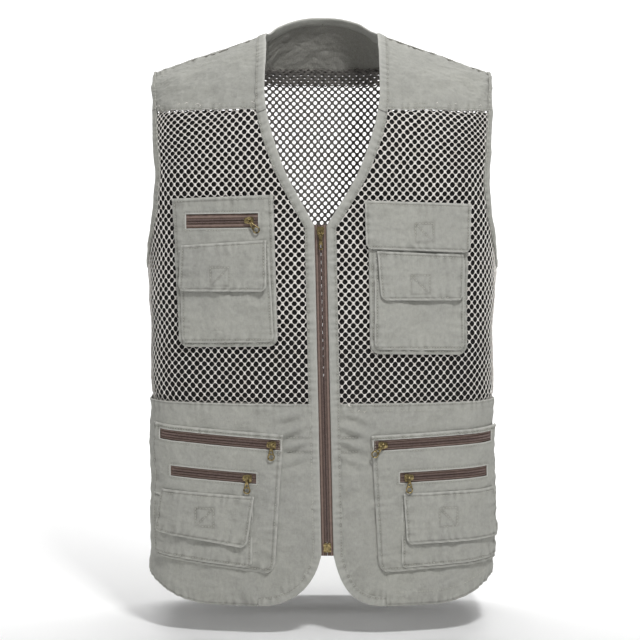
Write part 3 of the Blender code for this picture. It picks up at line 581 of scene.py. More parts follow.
# Near-black colour of painted shade, which the cotton looks take in their folds, creases and seam grooves.
PAINTED_FOLD_SHADE = (0.105, 0.102, 0.090)
COTTON = cotton_look("khaki_cotton_look", (0.362, 0.362, 0.331), (0.398, 0.398, 0.366), (0.660, 0.655, 0.615))
TRIM = cotton_look("binding_look", (0.365, 0.365, 0.335), (0.412, 0.412, 0.380), (0.680, 0.675, 0.635))
# A darker copy of the khaki cotton on the insides of the back pieces: painted shade, for the shade inside the
# vest.
INSIDE_PAINTED_SHADE = cotton_look("cotton_inside_painted_shade_look", (0.250, 0.245, 0.222), (0.340, 0.334, 0.304),
                     (0.360, 0.355, 0.325))
NET = net_look("knitted_net_look", (0.620, 0.575, 0.520), (0.900, 0.870, 0.825))
# A near-black copy of the net for the inner faces of the back nets: painted shade, for the shade inside the
# vest.
NET_INSIDE_PAINTED_SHADE = net_look("net_inside_painted_shade_look", (0.055, 0.050, 0.045), (0.185, 0.172, 0.158))
LINING = plain_look("dark_lining_look", (0.0055, 0.0052, 0.0050), (0.013, 0.012, 0.011), 0.9)
TAPE = tape_look()
COIL = plain_look("coil_look", (0.125, 0.084, 0.074), (0.270, 0.192, 0.170), 0.42, 700.0, 0.0001)
BRASS = brass_look()
THREAD = plain_look("thread_look", (0.400, 0.395, 0.340), (0.590, 0.585, 0.520), 0.7, 1500.0)
HOOKS = plain_look("hook_look", (0.085, 0.083, 0.068), (0.150, 0.147, 0.122), 0.6, 900.0)
LOOPS = plain_look("loop_look", (0.165, 0.163, 0.135), (0.270, 0.267, 0.228), 0.95, 1200.0, 0.0008)


# ---------------------------------------------------------------- where the pockets are

# Corners are (distance from the centre plane, z): top inner, top outer, low inner, low outer.
# Zips run from their inner to their outer end.
LOWER_ZIP_HALF, CHEST_ZIP_HALF = 0.0058, 0.0080
LONG_ZIP = {"right": ((0.0460, -0.4670), (0.1820, -0.4580)), "left": ((0.0573, -0.4675), (0.1900, -0.4620))}
SHORT_ZIP = {"right": ((0.0730, -0.5050), (0.1700, -0.4993)), "left": ((0.0864, -0.5043), (0.1850, -0.5012))}
CHEST_ZIP = ((0.0705, -0.2160), (0.1515, -0.2174))
CARGO = {
    "right": ((0.0430, -0.4550), (0.1900, -0.4455), (0.0528, -0.6120), (0.1900, -0.5990)),
    "left": ((0.0545, -0.4565), (0.1965, -0.4500), (0.0635, -0.6115), (0.1965, -0.6050)),
}
CARGO_PLY = {
    "right": ((0.0765, -0.5300), (0.1880, -0.5260), (0.0783, -0.6060), (0.1880, -0.5950)),
    "left": ((0.0880, -0.5280), (0.1945, -0.5260), (0.0885, -0.6065), (0.1945, -0.6010)),
}
CARGO_FLAP = {
    "right": ((0.0749, -0.5249), (0.1780, -0.5204), (0.0830, -0.5823), (0.1840, -0.5700)),
    "left": ((0.0900, -0.5219), (0.1905, -0.5204), (0.0933, -0.5792), (0.1940, -0.5770)),
}
CARGO_PAD = {"right": (0.1300, -0.5500), "left": (0.1400, -0.5500)}
CHEST = {
    "right": ((0.0541, -0.1876), (0.1674, -0.1919), (0.0489, -0.3567), (0.1600, -0.3585)),
    "left": ((0.0505, -0.2000), (0.1630, -0.2035), (0.0534, -0.3652), (0.1625, -0.3672)),
}
CHEST_PLY = {
    "right": ((0.0590, -0.2430), (0.1590, -0.2500), (0.0530, -0.3515), (0.1560, -0.3535)),
    "left": ((0.0580, -0.2570), (0.1585, -0.2610), (0.0575, -0.3600), (0.1585, -0.3620)),
}
CHEST_FLAP = {
    "right": ((0.0612, -0.2380), (0.1560, -0.2441), (0.0607, -0.2950), (0.1587, -0.2955)),
    "left_upper": ((0.0465, -0.1939), (0.1648, -0.1977), (0.0478, -0.2477), (0.1635, -0.2521)),
    "left_lower": ((0.0599, -0.2501), (0.1568, -0.2546), (0.0645, -0.3048), (0.1555, -0.3056)),
}
CHEST_PAD = {"right": (0.1120, -0.2787), "left_upper": (0.1124, -0.2300), "left_lower": (0.1075, -0.2875)}
POCKET_ZIPS = [(1, LONG_ZIP["left"]), (-1, LONG_ZIP["right"]), (1, SHORT_ZIP["left"])]
POCKET_ZIPS += [(-1, SHORT_ZIP["right"]), (-1, CHEST_ZIP)]


def zip_share(ends, across):
    """How far along a zip a place is, and the zip's height there."""
    low, high = across_at(ends[0][0]), across_at(ends[1][0])
    share = (across - low) / (high - low)
    return share, ends[0][1] + (ends[1][1] - ends[0][1]) * share


def calm(across, up):
    """0 beside a zip and 1 away from all of them, so that cloth lies flat where a slider runs."""
    still = 1 - np.exp(-((np.abs(across) / 0.022) ** 4)) * (up < RIDGE)
    for side, ends in POCKET_ZIPS:
        share, z = zip_share(ends, side * across)
        inside = smooth((share + 0.12) / 0.12) * smooth((1.12 - share) / 0.12)
        still = still * (1 - inside * peak(up - z, SLIDER_BAND))
    return still


def hang(across, up):
    """The slow unevenness that every layer of the vest shares."""
    slow, quick = waves(across, up, 0.085, 5, 2), waves(across, up, 0.034, 9, 2)
    return calm(across, up) * (0.0011 * slow + 0.0004 * quick)


# ---------------------------------------------------------------- stitches and other rows of small bars

def bars(starts, ends, normals, half, rise):
    """The points and faces of small rounded bars, each half wide to both sides and rise high."""
    along = ends - starts
    over = np.cross(normals, along)
    over /= np.linalg.norm(over, axis=-1, keepdims=True)
    shares, scales = np.array([0, 0.1, 0.3, 0.7, 0.9, 1]), np.array([0.15, 0.75, 1, 1, 0.75, 0.15])
    angles = np.radians(np.arange(6) * 60)
    over, normals, starts, along = (v[:, None, None] for v in (over, normals, starts, along))
    ring = half * np.cos(angles)[:, None] * over + rise * np.sin(angles)[:, None] * normals
    points = starts + shares[:, None, None] * along + scales[:, None, None] * ring
    sections, corners = len(shares), len(angles)
    one = []
    for i in range(sections - 1):
        for j in range(corners):
            k = (j + 1) % corners
            one.append((i * corners + j, i * corners + k, (i + 1) * corners + k, (i + 1) * corners + j))
    one = np.array(one)
    faces = (np.arange(len(starts))[:, None, None] * sections * corners + one).reshape(-1, 4)
    return points.reshape(-1, 3), faces


class Row:
    """Gathers small bars, so that those on one body become one piece."""

    def __init__(self):
        self.starts, self.ends, self.normals = [], [], []

    def add(self, starts, ends, normals):
        self.starts.append(starts)
        self.ends.append(ends)
        self.normals.append(normals)

    def make(self, name, half, rise, look):
        parts = [np.concatenate(p) for p in (self.starts, self.ends, self.normals)]
        return mesh_object(name, *bars(*parts, half, rise), look)


STITCHES = {}
STITCH_PITCH, STITCH_LENGTH = 0.0031, 0.0022


def stitch(group, curve, out):
    """A line of stitches along a curve on the form, out above it."""
    far = lengths(curve)
    length, share = far[-1], STITCH_LENGTH / STITCH_PITCH
    count = max(2, int(length / STITCH_PITCH))
    at = np.arange(count) * length / count
    first, last = picked(curve, far, at), picked(curve, far, at + share * length / count)
    ends = [laid(p[:, 0], p[:, 1], out + hang(p[:, 0], p[:, 1])) for p in (first, last)]
    STITCHES.setdefault(group, Row()).add(*ends, outward(first[:, 0], first[:, 1]))


# ---------------------------------------------------------------- cloth pieces

def cotton_relief(sheet, seams, seed, gather=0.00105, inset=0.002):
    """The relief of a cotton piece, and its mark of wear and painted light for each of its points."""
    across, up = sheet.across, sheet.up
    rough = 0.00070 * creases(across, up, 0.052, seed) + 0.00034 * creases(across, up, 0.022, seed + 1)
    rough += 0.00012 * waves(across, up, 0.007, seed + 2, 2)
    pulled = np.zeros(across.shape)
    along = {"l": sheet.to_start, "r": sheet.to_start, "s": sheet.to_left, "e": sheet.to_left}
    far = {"l": sheet.to_left, "r": sheet.to_right, "s": sheet.to_start, "e": sheet.to_end}
    groove = np.zeros(across.shape)
    for seam in seams:
        away = np.abs(far[seam] - inset)
        pulled += pucker(along[seam], away, seed=seed + ord(seam))
        groove = np.maximum(groove, peak(away, 0.0009))
    still = calm(across, up)
    relief = rough * (0.25 + 0.75 * still) + gather * pulled - 0.00032 * groove
    edge = np.exp(-sheet.edge(seams) / 0.0011)
    # Rubbed edges pale the cloth as wear; seam grooves, crease valleys and pucker troughs get painted shade,
    # and crests painted highlight.
    wear_and_painted_light = 0.55 * edge - 0.50 * groove + 75 * rough + 0.20 * pulled
    return relief + hang(across, up), limited(wear_and_painted_light)


def limited(wear_and_painted_light):
    """Wear and painted light within the range that the cloth's colours take: painted shade in folds below 0,
    rubbed edges above.
    """
    return np.clip(wear_and_painted_light, *WEAR_AND_PAINTED_LIGHT_LIMITS)


def round_edge(sheet, sides, drop, reach):
    """How far a piece turns down at its edges, rounded over reach."""
    share = np.clip(1 - sheet.edge(sides) / reach, 0, 1)
    return -drop * (1 - np.sqrt(np.clip(1 - share ** 2, 0, 1)))


def inset_line(sheet, side, inset):
    """A line on the piece at an inset from one of its edges."""
    grid, far = np.stack([sheet.across, sheet.up], -1), sheet.to_left
    if side in "se":
        grid, far = grid.swapaxes(0, 1), sheet.to_start.T
    share = inset / np.maximum(far[:, -1], 1e-6)
    share = share if side in "ls" else 1 - share
    places = far / far[:, -1:]
    found = [[np.interp(share[i], places[i], row[:, k]) for k in (0, 1)] for i, row in enumerate(grid)]
    return np.array(found)


def stitched(group, sheet, sides, out, inset=0.002, trim=0.0025):
    """Lines of stitches along edges of a piece, stopping short of its corners."""
    for side in sides:
        curve = inset_line(sheet, side, inset)
        far = lengths(curve)
        inner = (far > trim) & (far < far[-1] - trim)
        if inner.sum() > 2:
            stitch(group, curve[inner], out)


def add_binding(name, curve, width, body, node, blended=False):
    """A folded tape over a cloth edge: its outside, the rounded fold on the edge, and its inside."""
    side, wide = (1 if width > 0 else -1), abs(width)
    curve = respaced(curve, max(8, int(lengths(curve)[-1] / 0.0016)))
    profile = [(wide, 0.0002), (wide - 0.0004, 0.0010), (wide - 0.0012, 0.0013), (wide - 0.0020, 0.0010)]
    profile += [(wide - 0.0028, 0.0013), (0.0065, 0.0014), (0.0045, 0.0015), (0.0028, 0.0015)]
    profile += [(0.0013, 0.0013), (0.0004, 0.0007), (0.0, -0.0003), (0.0004, -0.0013), (0.0015, -0.0018)]
    profile += [(0.0045, -0.0019), (0.0080, -0.0019), (wide - 0.0004, -0.0019)]
    run = lengths(curve)
    grid = np.stack([beside(curve, side * w) for w, _ in profile], 1)
    across, up = grid[..., 0], grid[..., 1]
    outs = np.array([o for _, o in profile])[None, :]
    seed = len(name)
    far = np.array([abs(w - wide + 0.002) + (0.02 if o < 0 else 0) for w, o in profile])[None, :]
    pulled = pucker(run[:, None], far, 0.0085, 0.0055, seed)
    relief = 0.00038 * pulled + 0.00022 * waves(across, up, 0.030, seed, 3) + hang(across, up)
    points = laid(across, up, outs + relief)
    faces = grid_faces(*across.shape)
    normal = np.cross(points[1, 6] - points[0, 5], points[0, 6] - points[1, 5])
    if np.dot(normal, outward(across[0, 5], up[0, 5])) > 0:
        faces = faces[:, ::-1]
    fold = np.exp(-np.array([w for w, _ in profile]) / 0.0012)[None, :]
    seam = peak(far, 0.0008)
    # The folded edge pales with rubbed wear; the stitch groove and pucker troughs get painted shade, and
    # pucker crests painted highlight.
    wear_and_painted_light = limited(0.05 + 0.45 * fold + 0.30 * pulled - 0.45 * seam)
    made = thick(mesh_object(name, points, faces, TRIM, wear_and_painted_light), 0.0005)
    made["flat"] = cut_size(laid(across, up, outs))
    stitch(body, beside(curve, side * (wide - 0.0020))[2:-2], 0.0013)
    cloth(made, body, node, blended=blended)


def inside_outline(across, up, outline):
    """Which places lie inside a closed outline on the form."""
    found = np.zeros(across.shape, bool)
    for (a0, u0), (a1, u1) in zip(outline, np.roll(outline, -1, axis=0)):
        if u0 == u1:
            continue
        crosses = (u0 > up) != (u1 > up)
        found ^= crosses & (across < a0 + (up - u0) * (a1 - a0) / (u1 - u0))
    return found


def level(across, up):
    """The height along the back's cloth that lies level with up on a shoulder with no rise at the neck."""
    turn = np.clip((up - CHEST_LINE) / UPPER_SPAN, math.pi / 2, math.pi)
    flat = 2 * RIDGE - front_up(CHEST_LINE - CHEST_LINE * np.sin(turn), across)
    return np.where(up < 2 * RIDGE - CHEST_LINE, flat, up)


def net(name, outline, hole, low_side, high_side, seams, inside=None, shift=(0, 0), deep=0.0):
    """A knitted net of staggered hexagonal cells with rounded strands.

    It ends where a cell's centre leaves the outline, and straight at the two limits on across. seams
    are the heights along the cloth behind which it is sewn, where it lies a little further in. shift
    moves the cells, and deep the whole net, inwards.
    """
    low, high = outline.min(0), outline.max(0)
    rows = np.arange(math.floor(low[1] / NET_ROW), math.ceil(high[1] / NET_ROW) + 1)
    columns = np.arange(math.floor(low[0] / NET_PITCH) - 1, math.ceil(high[0] / NET_PITCH) + 2)
    row, column = np.meshgrid(rows, columns, indexing="ij")
    across, up = (column + 0.5 * (row % 2)) * NET_PITCH + shift[0], row * NET_ROW + shift[1]
    kept = inside_outline(across, level(across, up) if low[1] > RIDGE else up, outline)
    across, up = across[kept][:, None], up[kept][:, None]
    flank = NET_ROW / 6
    corner = NET_ROW - flank
    half = NET_PITCH / 2
    cell = [(half, -flank), (half, 0), (half, flank), (half / 2, (flank + corner) / 2), (0, corner)]
    cell += [(-half / 2, (flank + corner) / 2), (-half, flank), (-half, 0), (-half, -flank)]
    cell += [(-half / 2, -(flank + corner) / 2), (0, -corner), (half / 2, -(flank + corner) / 2)]
    cell = np.array(cell)
    angle = np.arctan2(cell[:, 1], cell[:, 0])
    ring = np.stack([hole[0] * np.cos(angle), hole[1] * np.sin(angle)], -1)
    taut = 1 + 0.07 * smooth((-0.30 - up) / 0.08) + 0.05 * smooth((np.abs(across) - 0.12) / 0.06)
    offsets = np.concatenate([np.broadcast_to(cell, (len(up), 12, 2)), ring * taut[..., None]], 1)
    flat = np.stack([across, up], -1) + offsets
    flat[..., 0] = np.clip(flat[..., 0], low_side, high_side)
    depth = np.tile(np.concatenate([np.zeros(12), np.full(12, -0.0005)]), (len(flat), 1))
    keys = np.round(flat.reshape(-1, 2) * 2e5).astype(np.int64)
    _, first, index = np.unique(keys, axis=0, return_index=True, return_inverse=True)
    index = index.reshape(-1, 24)
    a, u = flat.reshape(-1, 2)[first].T
    if low[1] > RIDGE:
        u = level(a, u)
    warp = 0.0008 * waves(a, u, 0.070, 21, 2), 0.0008 * waves(a, u, 0.060, 22, 2)
    inner = np.clip(np.minimum(a - low_side, high_side - a) / 0.01, 0, 1)
    out = depth.ravel()[first] + hang(a, u)
    out += 0.00012 * waves(a, u, 0.006, 23, 2)
    out -= deep
    for seam in seams:
        out -= 0.0014 * np.exp(-(((u - seam(a)) / 0.006) ** 4))
    points = laid(a + warp[0] * inner, u + warp[1] * inner, out)
    faces = []
    for i in range(12):
        j = (i + 1) % 12
        faces.append(np.stack([index[:, i], index[:, j], index[:, 12 + j], index[:, 12 + i]], -1))
    faces = np.concatenate(faces)
    flat_points = np.stack([a, u], -1)[faces]
    span = np.cross(flat_points[:, 2] - flat_points[:, 0], flat_points[:, 3] - flat_points[:, 1])
    faces = faces[np.abs(span) > 1e-9]
    middle = points[faces[0]]
    normal = np.cross(middle[2] - middle[0], middle[3] - middle[1])
    if np.dot(normal, outward(a[faces[0][0]], u[faces[0][0]])) < 0:
        faces = faces[:, ::-1]
    made = thick(mesh_object(name, points, faces, NET), 0.0006, inside)
    flat_cells = laid(a, u)[faces]
    spans = np.cross(flat_cells[:, 2] - flat_cells[:, 0], flat_cells[:, 3] - flat_cells[:, 1])
    wide, tall = (float(v) for v in high - low)
    strands = float(np.linalg.norm(spans, axis=1).sum() / 2)
    made["flat"] = [wide, tall, max(strands, 0.302 * wide * tall)]
    return made


# ---------------------------------------------------------------- shoulders and back

def arm_across(curve, up):
    """The across at which an armhole curve comes to a height along the cloth."""
    return np.interp(up, np.maximum.accumulate(curve[:, 1]), curve[:, 0])


def add_yokes():
    inside = NECK_HALF_WIDTH + BINDING_WIDTH - HIDDEN
    arm = beside(armhole(), BINDING_WIDTH - HIDDEN)
    seam_up = CHEST_LINE + UPPER_SPAN * SHOULDER_SEAM_TURN
    for side, word in SIDES:
        rows = np.linspace(0, 1, 40)
        flat = np.full(40, side * inside)

        def fit(sheet):
            share = sheet.share
            across = side * (inside + 0.10 * share)
            for _ in range(4):
                low = front_up(YOKE_SEAM, across)
                up = low + (seam_up - low) * sheet.row
                across = side * (inside + (arm_across(arm, up) - inside) * share)
            return across, up

        left = np.stack([flat, rows * 0.20], -1)
        right = np.stack([flat + side * 0.118, rows * 0.20], -1)
        yoke = Sheet(left, right, 0.0019, bend=fit)
        relief, wear_and_painted_light = cotton_relief(yoke, "se", 31 + side)
        relief += 0.0003 * smooth((0.0075 - yoke.to_start) / 0.001)
        made = yoke.make(f"yoke_front_{word}", relief, COTTON, PANEL, wear_and_painted_light)
        cloth(made, "vest_back", node=f"front_yoke_{word}")
        stitched("vest_back", yoke, "s", 0.0005)
        stitched("vest_back", yoke, "s", 0.0003, inset=0.0078)
        stitched("vest_back", yoke, "e", 0.0001, inset=0.0030)

    edge = joined(arm, back(arm[::-1]))
    shoulder = arm[-1, 0]
    start = seam_up + 0.0010
    neckline = beside(back_neck_edge(), -(BINDING_WIDTH - HIDDEN))[::-1]
    neck = respaced(neckline[neckline[:, 0] < inside - 0.0008], 40)
    outer = np.linspace(inside, shoulder, 62)
    half = np.concatenate([neck, [(inside - 0.0003, RIDGE)], np.stack([outer, np.full(62, start)], -1)])
    half[0, 0] = 0
    tops = np.concatenate([half[:0:-1] * (-1, 1), half])
    lows = np.stack([tops[:, 0], 2 * RIDGE - front_up(back_yoke_height(tops[:, 0]), tops[:, 0])], -1)
    places = np.arange(len(tops))

    def over_shoulder(sheet):
        at = sheet.row[:, :1] * 0 + np.linspace(0, len(tops) - 1, sheet.row.shape[0])[:, None]
        first = np.interp(at, places, tops[:, 0])
        top = np.interp(at, places, tops[:, 1])
        past = np.clip((np.abs(first) - inside) / (shoulder - inside), 0, 1)
        across, up = first + 0 * sheet.share, top + (lows[:, 1].mean() - top) * sheet.share
        for _ in range(3):
            across = first * (1 - past * (1 - arm_across(edge, up) / shoulder))
            end = 2 * RIDGE - front_up(back_yoke_height(across), across)
            up = top + (end - top) * sheet.share
        return across, up

    left = np.stack([places * 0.0020, np.zeros(len(places))], -1)
    yoke = Sheet(left, left + (0, 0.215), 0.0021, bend=over_shoulder)
    relief, wear_and_painted_light = cotton_relief(yoke, "r", 47, inset=0.0020)
    front = (np.abs(yoke.across) > inside - 0.002) & (yoke.to_left < 0.02)
    relief += np.where(front, 0.0009 * smooth((0.0050 - yoke.to_left) / 0.001) - 0.0002, 0)
    lean = (yoke.across - 0.042) + 0.22 * (yoke.up - RIDGE - 0.115)
    drape = peak(lean, 0.0075) * peak(yoke.up - RIDGE - 0.118, 0.040)
    bulge = peak(yoke.across + 0.018, 0.03) * smooth((yoke.up - RIDGE - 0.07) / 0.03)
    relief += 0.0030 * drape + 0.0014 * bulge
    made = yoke.make("yoke_back", relief, COTTON, PANEL, wear_and_painted_light, INSIDE_PAINTED_SHADE)
    cloth(made, "vest_back", node="back_yoke")
    stitched("vest_back", yoke, "r", 0.0005)
    stitched("vest_back", yoke, "r", 0.0003, inset=0.0078)
    for side in (1, -1):
        shoulder_row = line((side * inside, start + 0.003), (side * shoulder, start + 0.003), 30)
        stitch("vest_back", shoulder_row, 0.0011)


def add_back():
    edge = back(line((SEAM - SIDE_SPLIT, SIDE_HEM), (SEAM - SIDE_SPLIT, LOWER_SEAM), 30))
    lower = Sheet(sided(edge, -1), edge, 0.0023)
    relief, wear_and_painted_light = cotton_relief(lower, "se", 61)
    hem, overlap = smooth((0.017 - lower.to_start) / 0.0015), smooth((0.009 - lower.to_end) / 0.0015)
    relief += 0.0006 * hem + 0.0004 * overlap
    made = lower.make("panel_back_lower", relief, COTTON, PANEL, wear_and_painted_light, INSIDE_PAINTED_SHADE)
    cloth(made, "vest_back", node="back_lower_panel")
    stitched("vest_back", lower, "s", 0.0007, inset=0.0155)
    stitched("vest_back", lower, "e", 0.0005)
    stitched("vest_back", lower, "e", 0.0005, inset=0.0080)

    arm = beside(armhole(), BINDING_WIDTH - NET_HIDDEN)
    arm = part_of(arm, -1, 0.3)
    for side, word in SIDES:
        tops = np.linspace(0, arm_across(arm, -0.085) + 0.004, 30)
        top = np.stack([tops, 2 * RIDGE - front_up(back_yoke_height(tops) + 0.006, tops)], -1)
        limit = top[-1, 1]
        flank = back(arm)[::-1]
        flank = flank[(flank[:, 1] > limit) & (flank[:, 1] < back(arm)[0, 1] - 1e-4)]
        bottom = 2 * RIDGE - (LOWER_SEAM - 0.006)
        corners = [(SEAM + PAST_SEAM, 2 * RIDGE - ARMHOLE_BOTTOM), (SEAM + PAST_SEAM, bottom), (0, bottom)]
        outline = sided(np.concatenate([top, flank, corners]), side)
        # The cells on the centre line belong to the left net
        outline[outline[:, 0] == 0, 0] = -0.0001
        limits = (-0.006, SEAM - SIDE_SPLIT) if side > 0 else (-SEAM + SIDE_SPLIT, 0.006)
        seams = (lambda a: 2 * RIDGE - front_up(back_yoke_height(a), a),
                 lambda a: 0 * a + 2 * RIDGE - LOWER_SEAM)
        made = net(f"net_back_{word}", outline, BACK_NET_HOLE, *limits, seams, NET_INSIDE_PAINTED_SHADE)
        cloth(made, "vest_back", "back_mesh")

    places = np.linspace(-0.170, 0.170, 60)
    rim = back_yoke_height(places)
    top = np.stack([places, 2 * RIDGE - front_up(rim + 0.006, places)], -1)
    low = np.stack([places, 2 * RIDGE - front_up(rim - 0.012, places)], -1)
    outline = np.concatenate([top, low[::-1]])
    shift = (NET_PITCH / 2, 0.0012)
    made = net("net_back_fold", outline, FOLD_NET_HOLE, -0.175, 0.175, (), NET_INSIDE_PAINTED_SHADE, shift, 0.0022)
    cloth(made, "vest_back")


def add_bindings():
    rim = neck_rows(1)
    around = joined(part_of(rim, YOKE_SEAM, 1), back_neck_edge())
    around = joined(around, around[::-1] * (-1, 1))
    add_binding("binding_neck", around, -BINDING_WIDTH, "vest_back", "neck_binding")
    for side, word in SIDES:
        over = joined(part_of(armhole(), YOKE_SEAM, 1), back(armhole()[::-1]))
        over[-1, 0] = SEAM - ARM_SPLIT
        arm = part_of(armhole(), -1, YOKE_SEAM - 0.0006)
        arm[0, 0] = SEAM - ARM_SPLIT
        edge = part_of(front_edge(side), -1, YOKE_SEAM - 0.0006)
        wide = side * BINDING_WIDTH
        body = f"front_{word}"
        node = f"armhole_binding_back_{word}"
        add_binding(f"binding_armhole_{word}", sided(over, side), wide, "vest_back", node)
        node = f"armhole_binding_front_{word}"
        add_binding(f"binding_armhole_front_{word}", sided(arm, side), wide, body, node, blended=True)
        add_binding(f"binding_front_{word}", edge, -wide, body, f"front_binding_{word}", blended=True)


def add_side_tapes():
    """Tapes inside the side seams, behind the edges of the back and the fronts."""
    low, high, half = SIDE_HEM + 0.004, ARMHOLE_BOTTOM - 0.013, 0.0065
    for side, word in SIDES:
        first, last = side * SEAM - half, side * SEAM + half
        tape = Sheet(line((first, low), (first, high), 40), line((last, low), (last, high), 40), 0.003)
        made = tape.make(f"side_seam_tape_{word}", SIDE_TAPE_OUT + hang(tape.across, tape.up), TRIM, 0.0007)
        cloth(made, "vest_back")


# ---------------------------------------------------------------- fronts

def add_front(side, word):
    group = f"front_{word}"
    hidden = beside(front_edge(side), -side * (BINDING_WIDTH - NET_HIDDEN))
    arm = sided(beside(armhole(), BINDING_WIDTH - NET_HIDDEN), side)
    low, high = LOWER_SEAM - 0.006, YOKE_SEAM + 0.006
    neck, flank = part_of(hidden, low, high), part_of(arm, -1, high)
    flank = flank[np.abs(flank[:, 0]) < SEAM - 1e-4]
    corners = [(side * (SEAM + PAST_SEAM), z) for z in (ARMHOLE_BOTTOM, low)]
    outline = np.concatenate([neck, flank[::-1], corners])
    limits = (-0.01, SEAM - SIDE_SPLIT) if side > 0 else (-SEAM + SIDE_SPLIT, 0.01)
    seams = (lambda a: front_up(YOKE_SEAM, a), lambda a: 0 * a + LOWER_SEAM)
    made = net(f"net_front_{word}", outline, NET_HOLE, *limits, seams)
    cloth(made, group, f"front_mesh_{word}", blended=True)

    inner = part_of(beside(front_edge(side), -side * LINING_INSET), LOWER_SEAM + 0.001, YOKE_SEAM - 0.001)
    heights = body_point(inner[:, 0], inner[:, 1])[:, 2]
    flank_edge = line((SEAM - 0.0008, LOWER_SEAM), (SEAM - 0.0008, ARMHOLE_BOTTOM - LINING_INSET - 0.001), 20)
    side_edge = joined(flank_edge, beside(armhole(), LINING_INSET))
    side_heights = np.maximum.accumulate(body_point(side_edge[:, 0], side_edge[:, 1])[:, 2])
    at = np.interp(heights, side_heights, np.arange(len(side_heights)))
    outer = picked(side_edge, np.arange(len(side_edge)), at)
    lining = Sheet(inner, sided(outer, side), 0.0030)
    sag = waves(lining.across, lining.up, 0.03, 71, 2) ** 2
    out = LINING_OUT + hang(lining.across, lining.up) - 0.0007 - 0.0004 * sag
    made = lining.make(f"lining_front_{word}", out, LINING, 0.0006)
    cloth(made, group, f"front_lining_{word}", blended=True)

    edge = beside(front_edge(side), -side * (BINDING_WIDTH - HIDDEN))
    corner = part_of(edge, -1, -0.5850)[::-1]
    below = np.linspace(0.0722, SEAM - SIDE_SPLIT, 80)
    bottoms = np.concatenate([corner, np.stack([side * below, hem_height(below)], -1)])
    bottoms = bottoms[np.concatenate([[True], np.abs(np.diff(bottoms, axis=0)).sum(1) > 1e-6])]
    top_in = part_of(edge, -0.6, LOWER_SEAM)[-1, 0]
    end = side * (SEAM - SIDE_SPLIT)
    share = (bottoms[:, 0] - bottoms[0, 0]) / (end - bottoms[0, 0])
    above = top_in + (end - top_in) * np.maximum.accumulate(np.clip(share, 0, 1))
    even = top_in + (end - top_in) * np.linspace(0, 1, len(share))
    tops = np.stack([0.5 * above + 0.5 * even, np.full(len(share), LOWER_SEAM)], -1)
    tops[-1, 0] = end
    panel = Sheet(bottoms, tops, 0.0020)
    relief, wear_and_painted_light = cotton_relief(panel, "lr", 81 + side)
    below_seam = LOWER_SEAM - panel.up
    away = np.abs(panel.across) > 0.040
    hem = smooth((0.017 - panel.to_left) / 0.0015) * smooth((np.abs(panel.across) - 0.06) / 0.02)
    relief += 0.0006 * hem + 0.0004 * smooth((0.0090 - below_seam) / 0.0012)
    for z in (-0.459, -0.475):
        reach = smooth((0.046 - np.abs(panel.across)) / 0.004)
        tuck = reach * peak(panel.up - z, 0.0014) * ~away
        relief -= 0.0010 * tuck
        # Painted shade along the pressed-in tuck lines.
        wear_and_painted_light = limited(wear_and_painted_light - 0.4 * tuck)
    folds = peak(panel.across * side - 0.034, 0.016) * peak(panel.up + 0.462, 0.035)
    relief += 0.0030 * folds * np.sin(2 * math.pi * (panel.up + 0.35 * side * panel.across) / 0.017)
    made = panel.make(f"panel_front_{word}", relief, COTTON, PANEL, wear_and_painted_light)
    cloth(made, group, node=f"front_lower_panel_{word}")
    stitched(group, panel, "r", 0.0005)
    stitched(group, panel, "r", 0.0005, inset=0.0080)
    hem_line = np.stack([side * np.linspace(0.075, SEAM - 0.003, 60)] * 2, -1)
    hem_line[:, 1] = hem_height(hem_line[:, 0]) + 0.0155
    stitch(group, hem_line, 0.0006)
    for z in (-0.459, -0.475):
        stitch(group, line((side * 0.0205, z), (side * 0.040, z + 0.0008), 8), 0.0001)


# ---------------------------------------------------------------- patches: pockets, plies and flaps

ARC_STEPS = 12


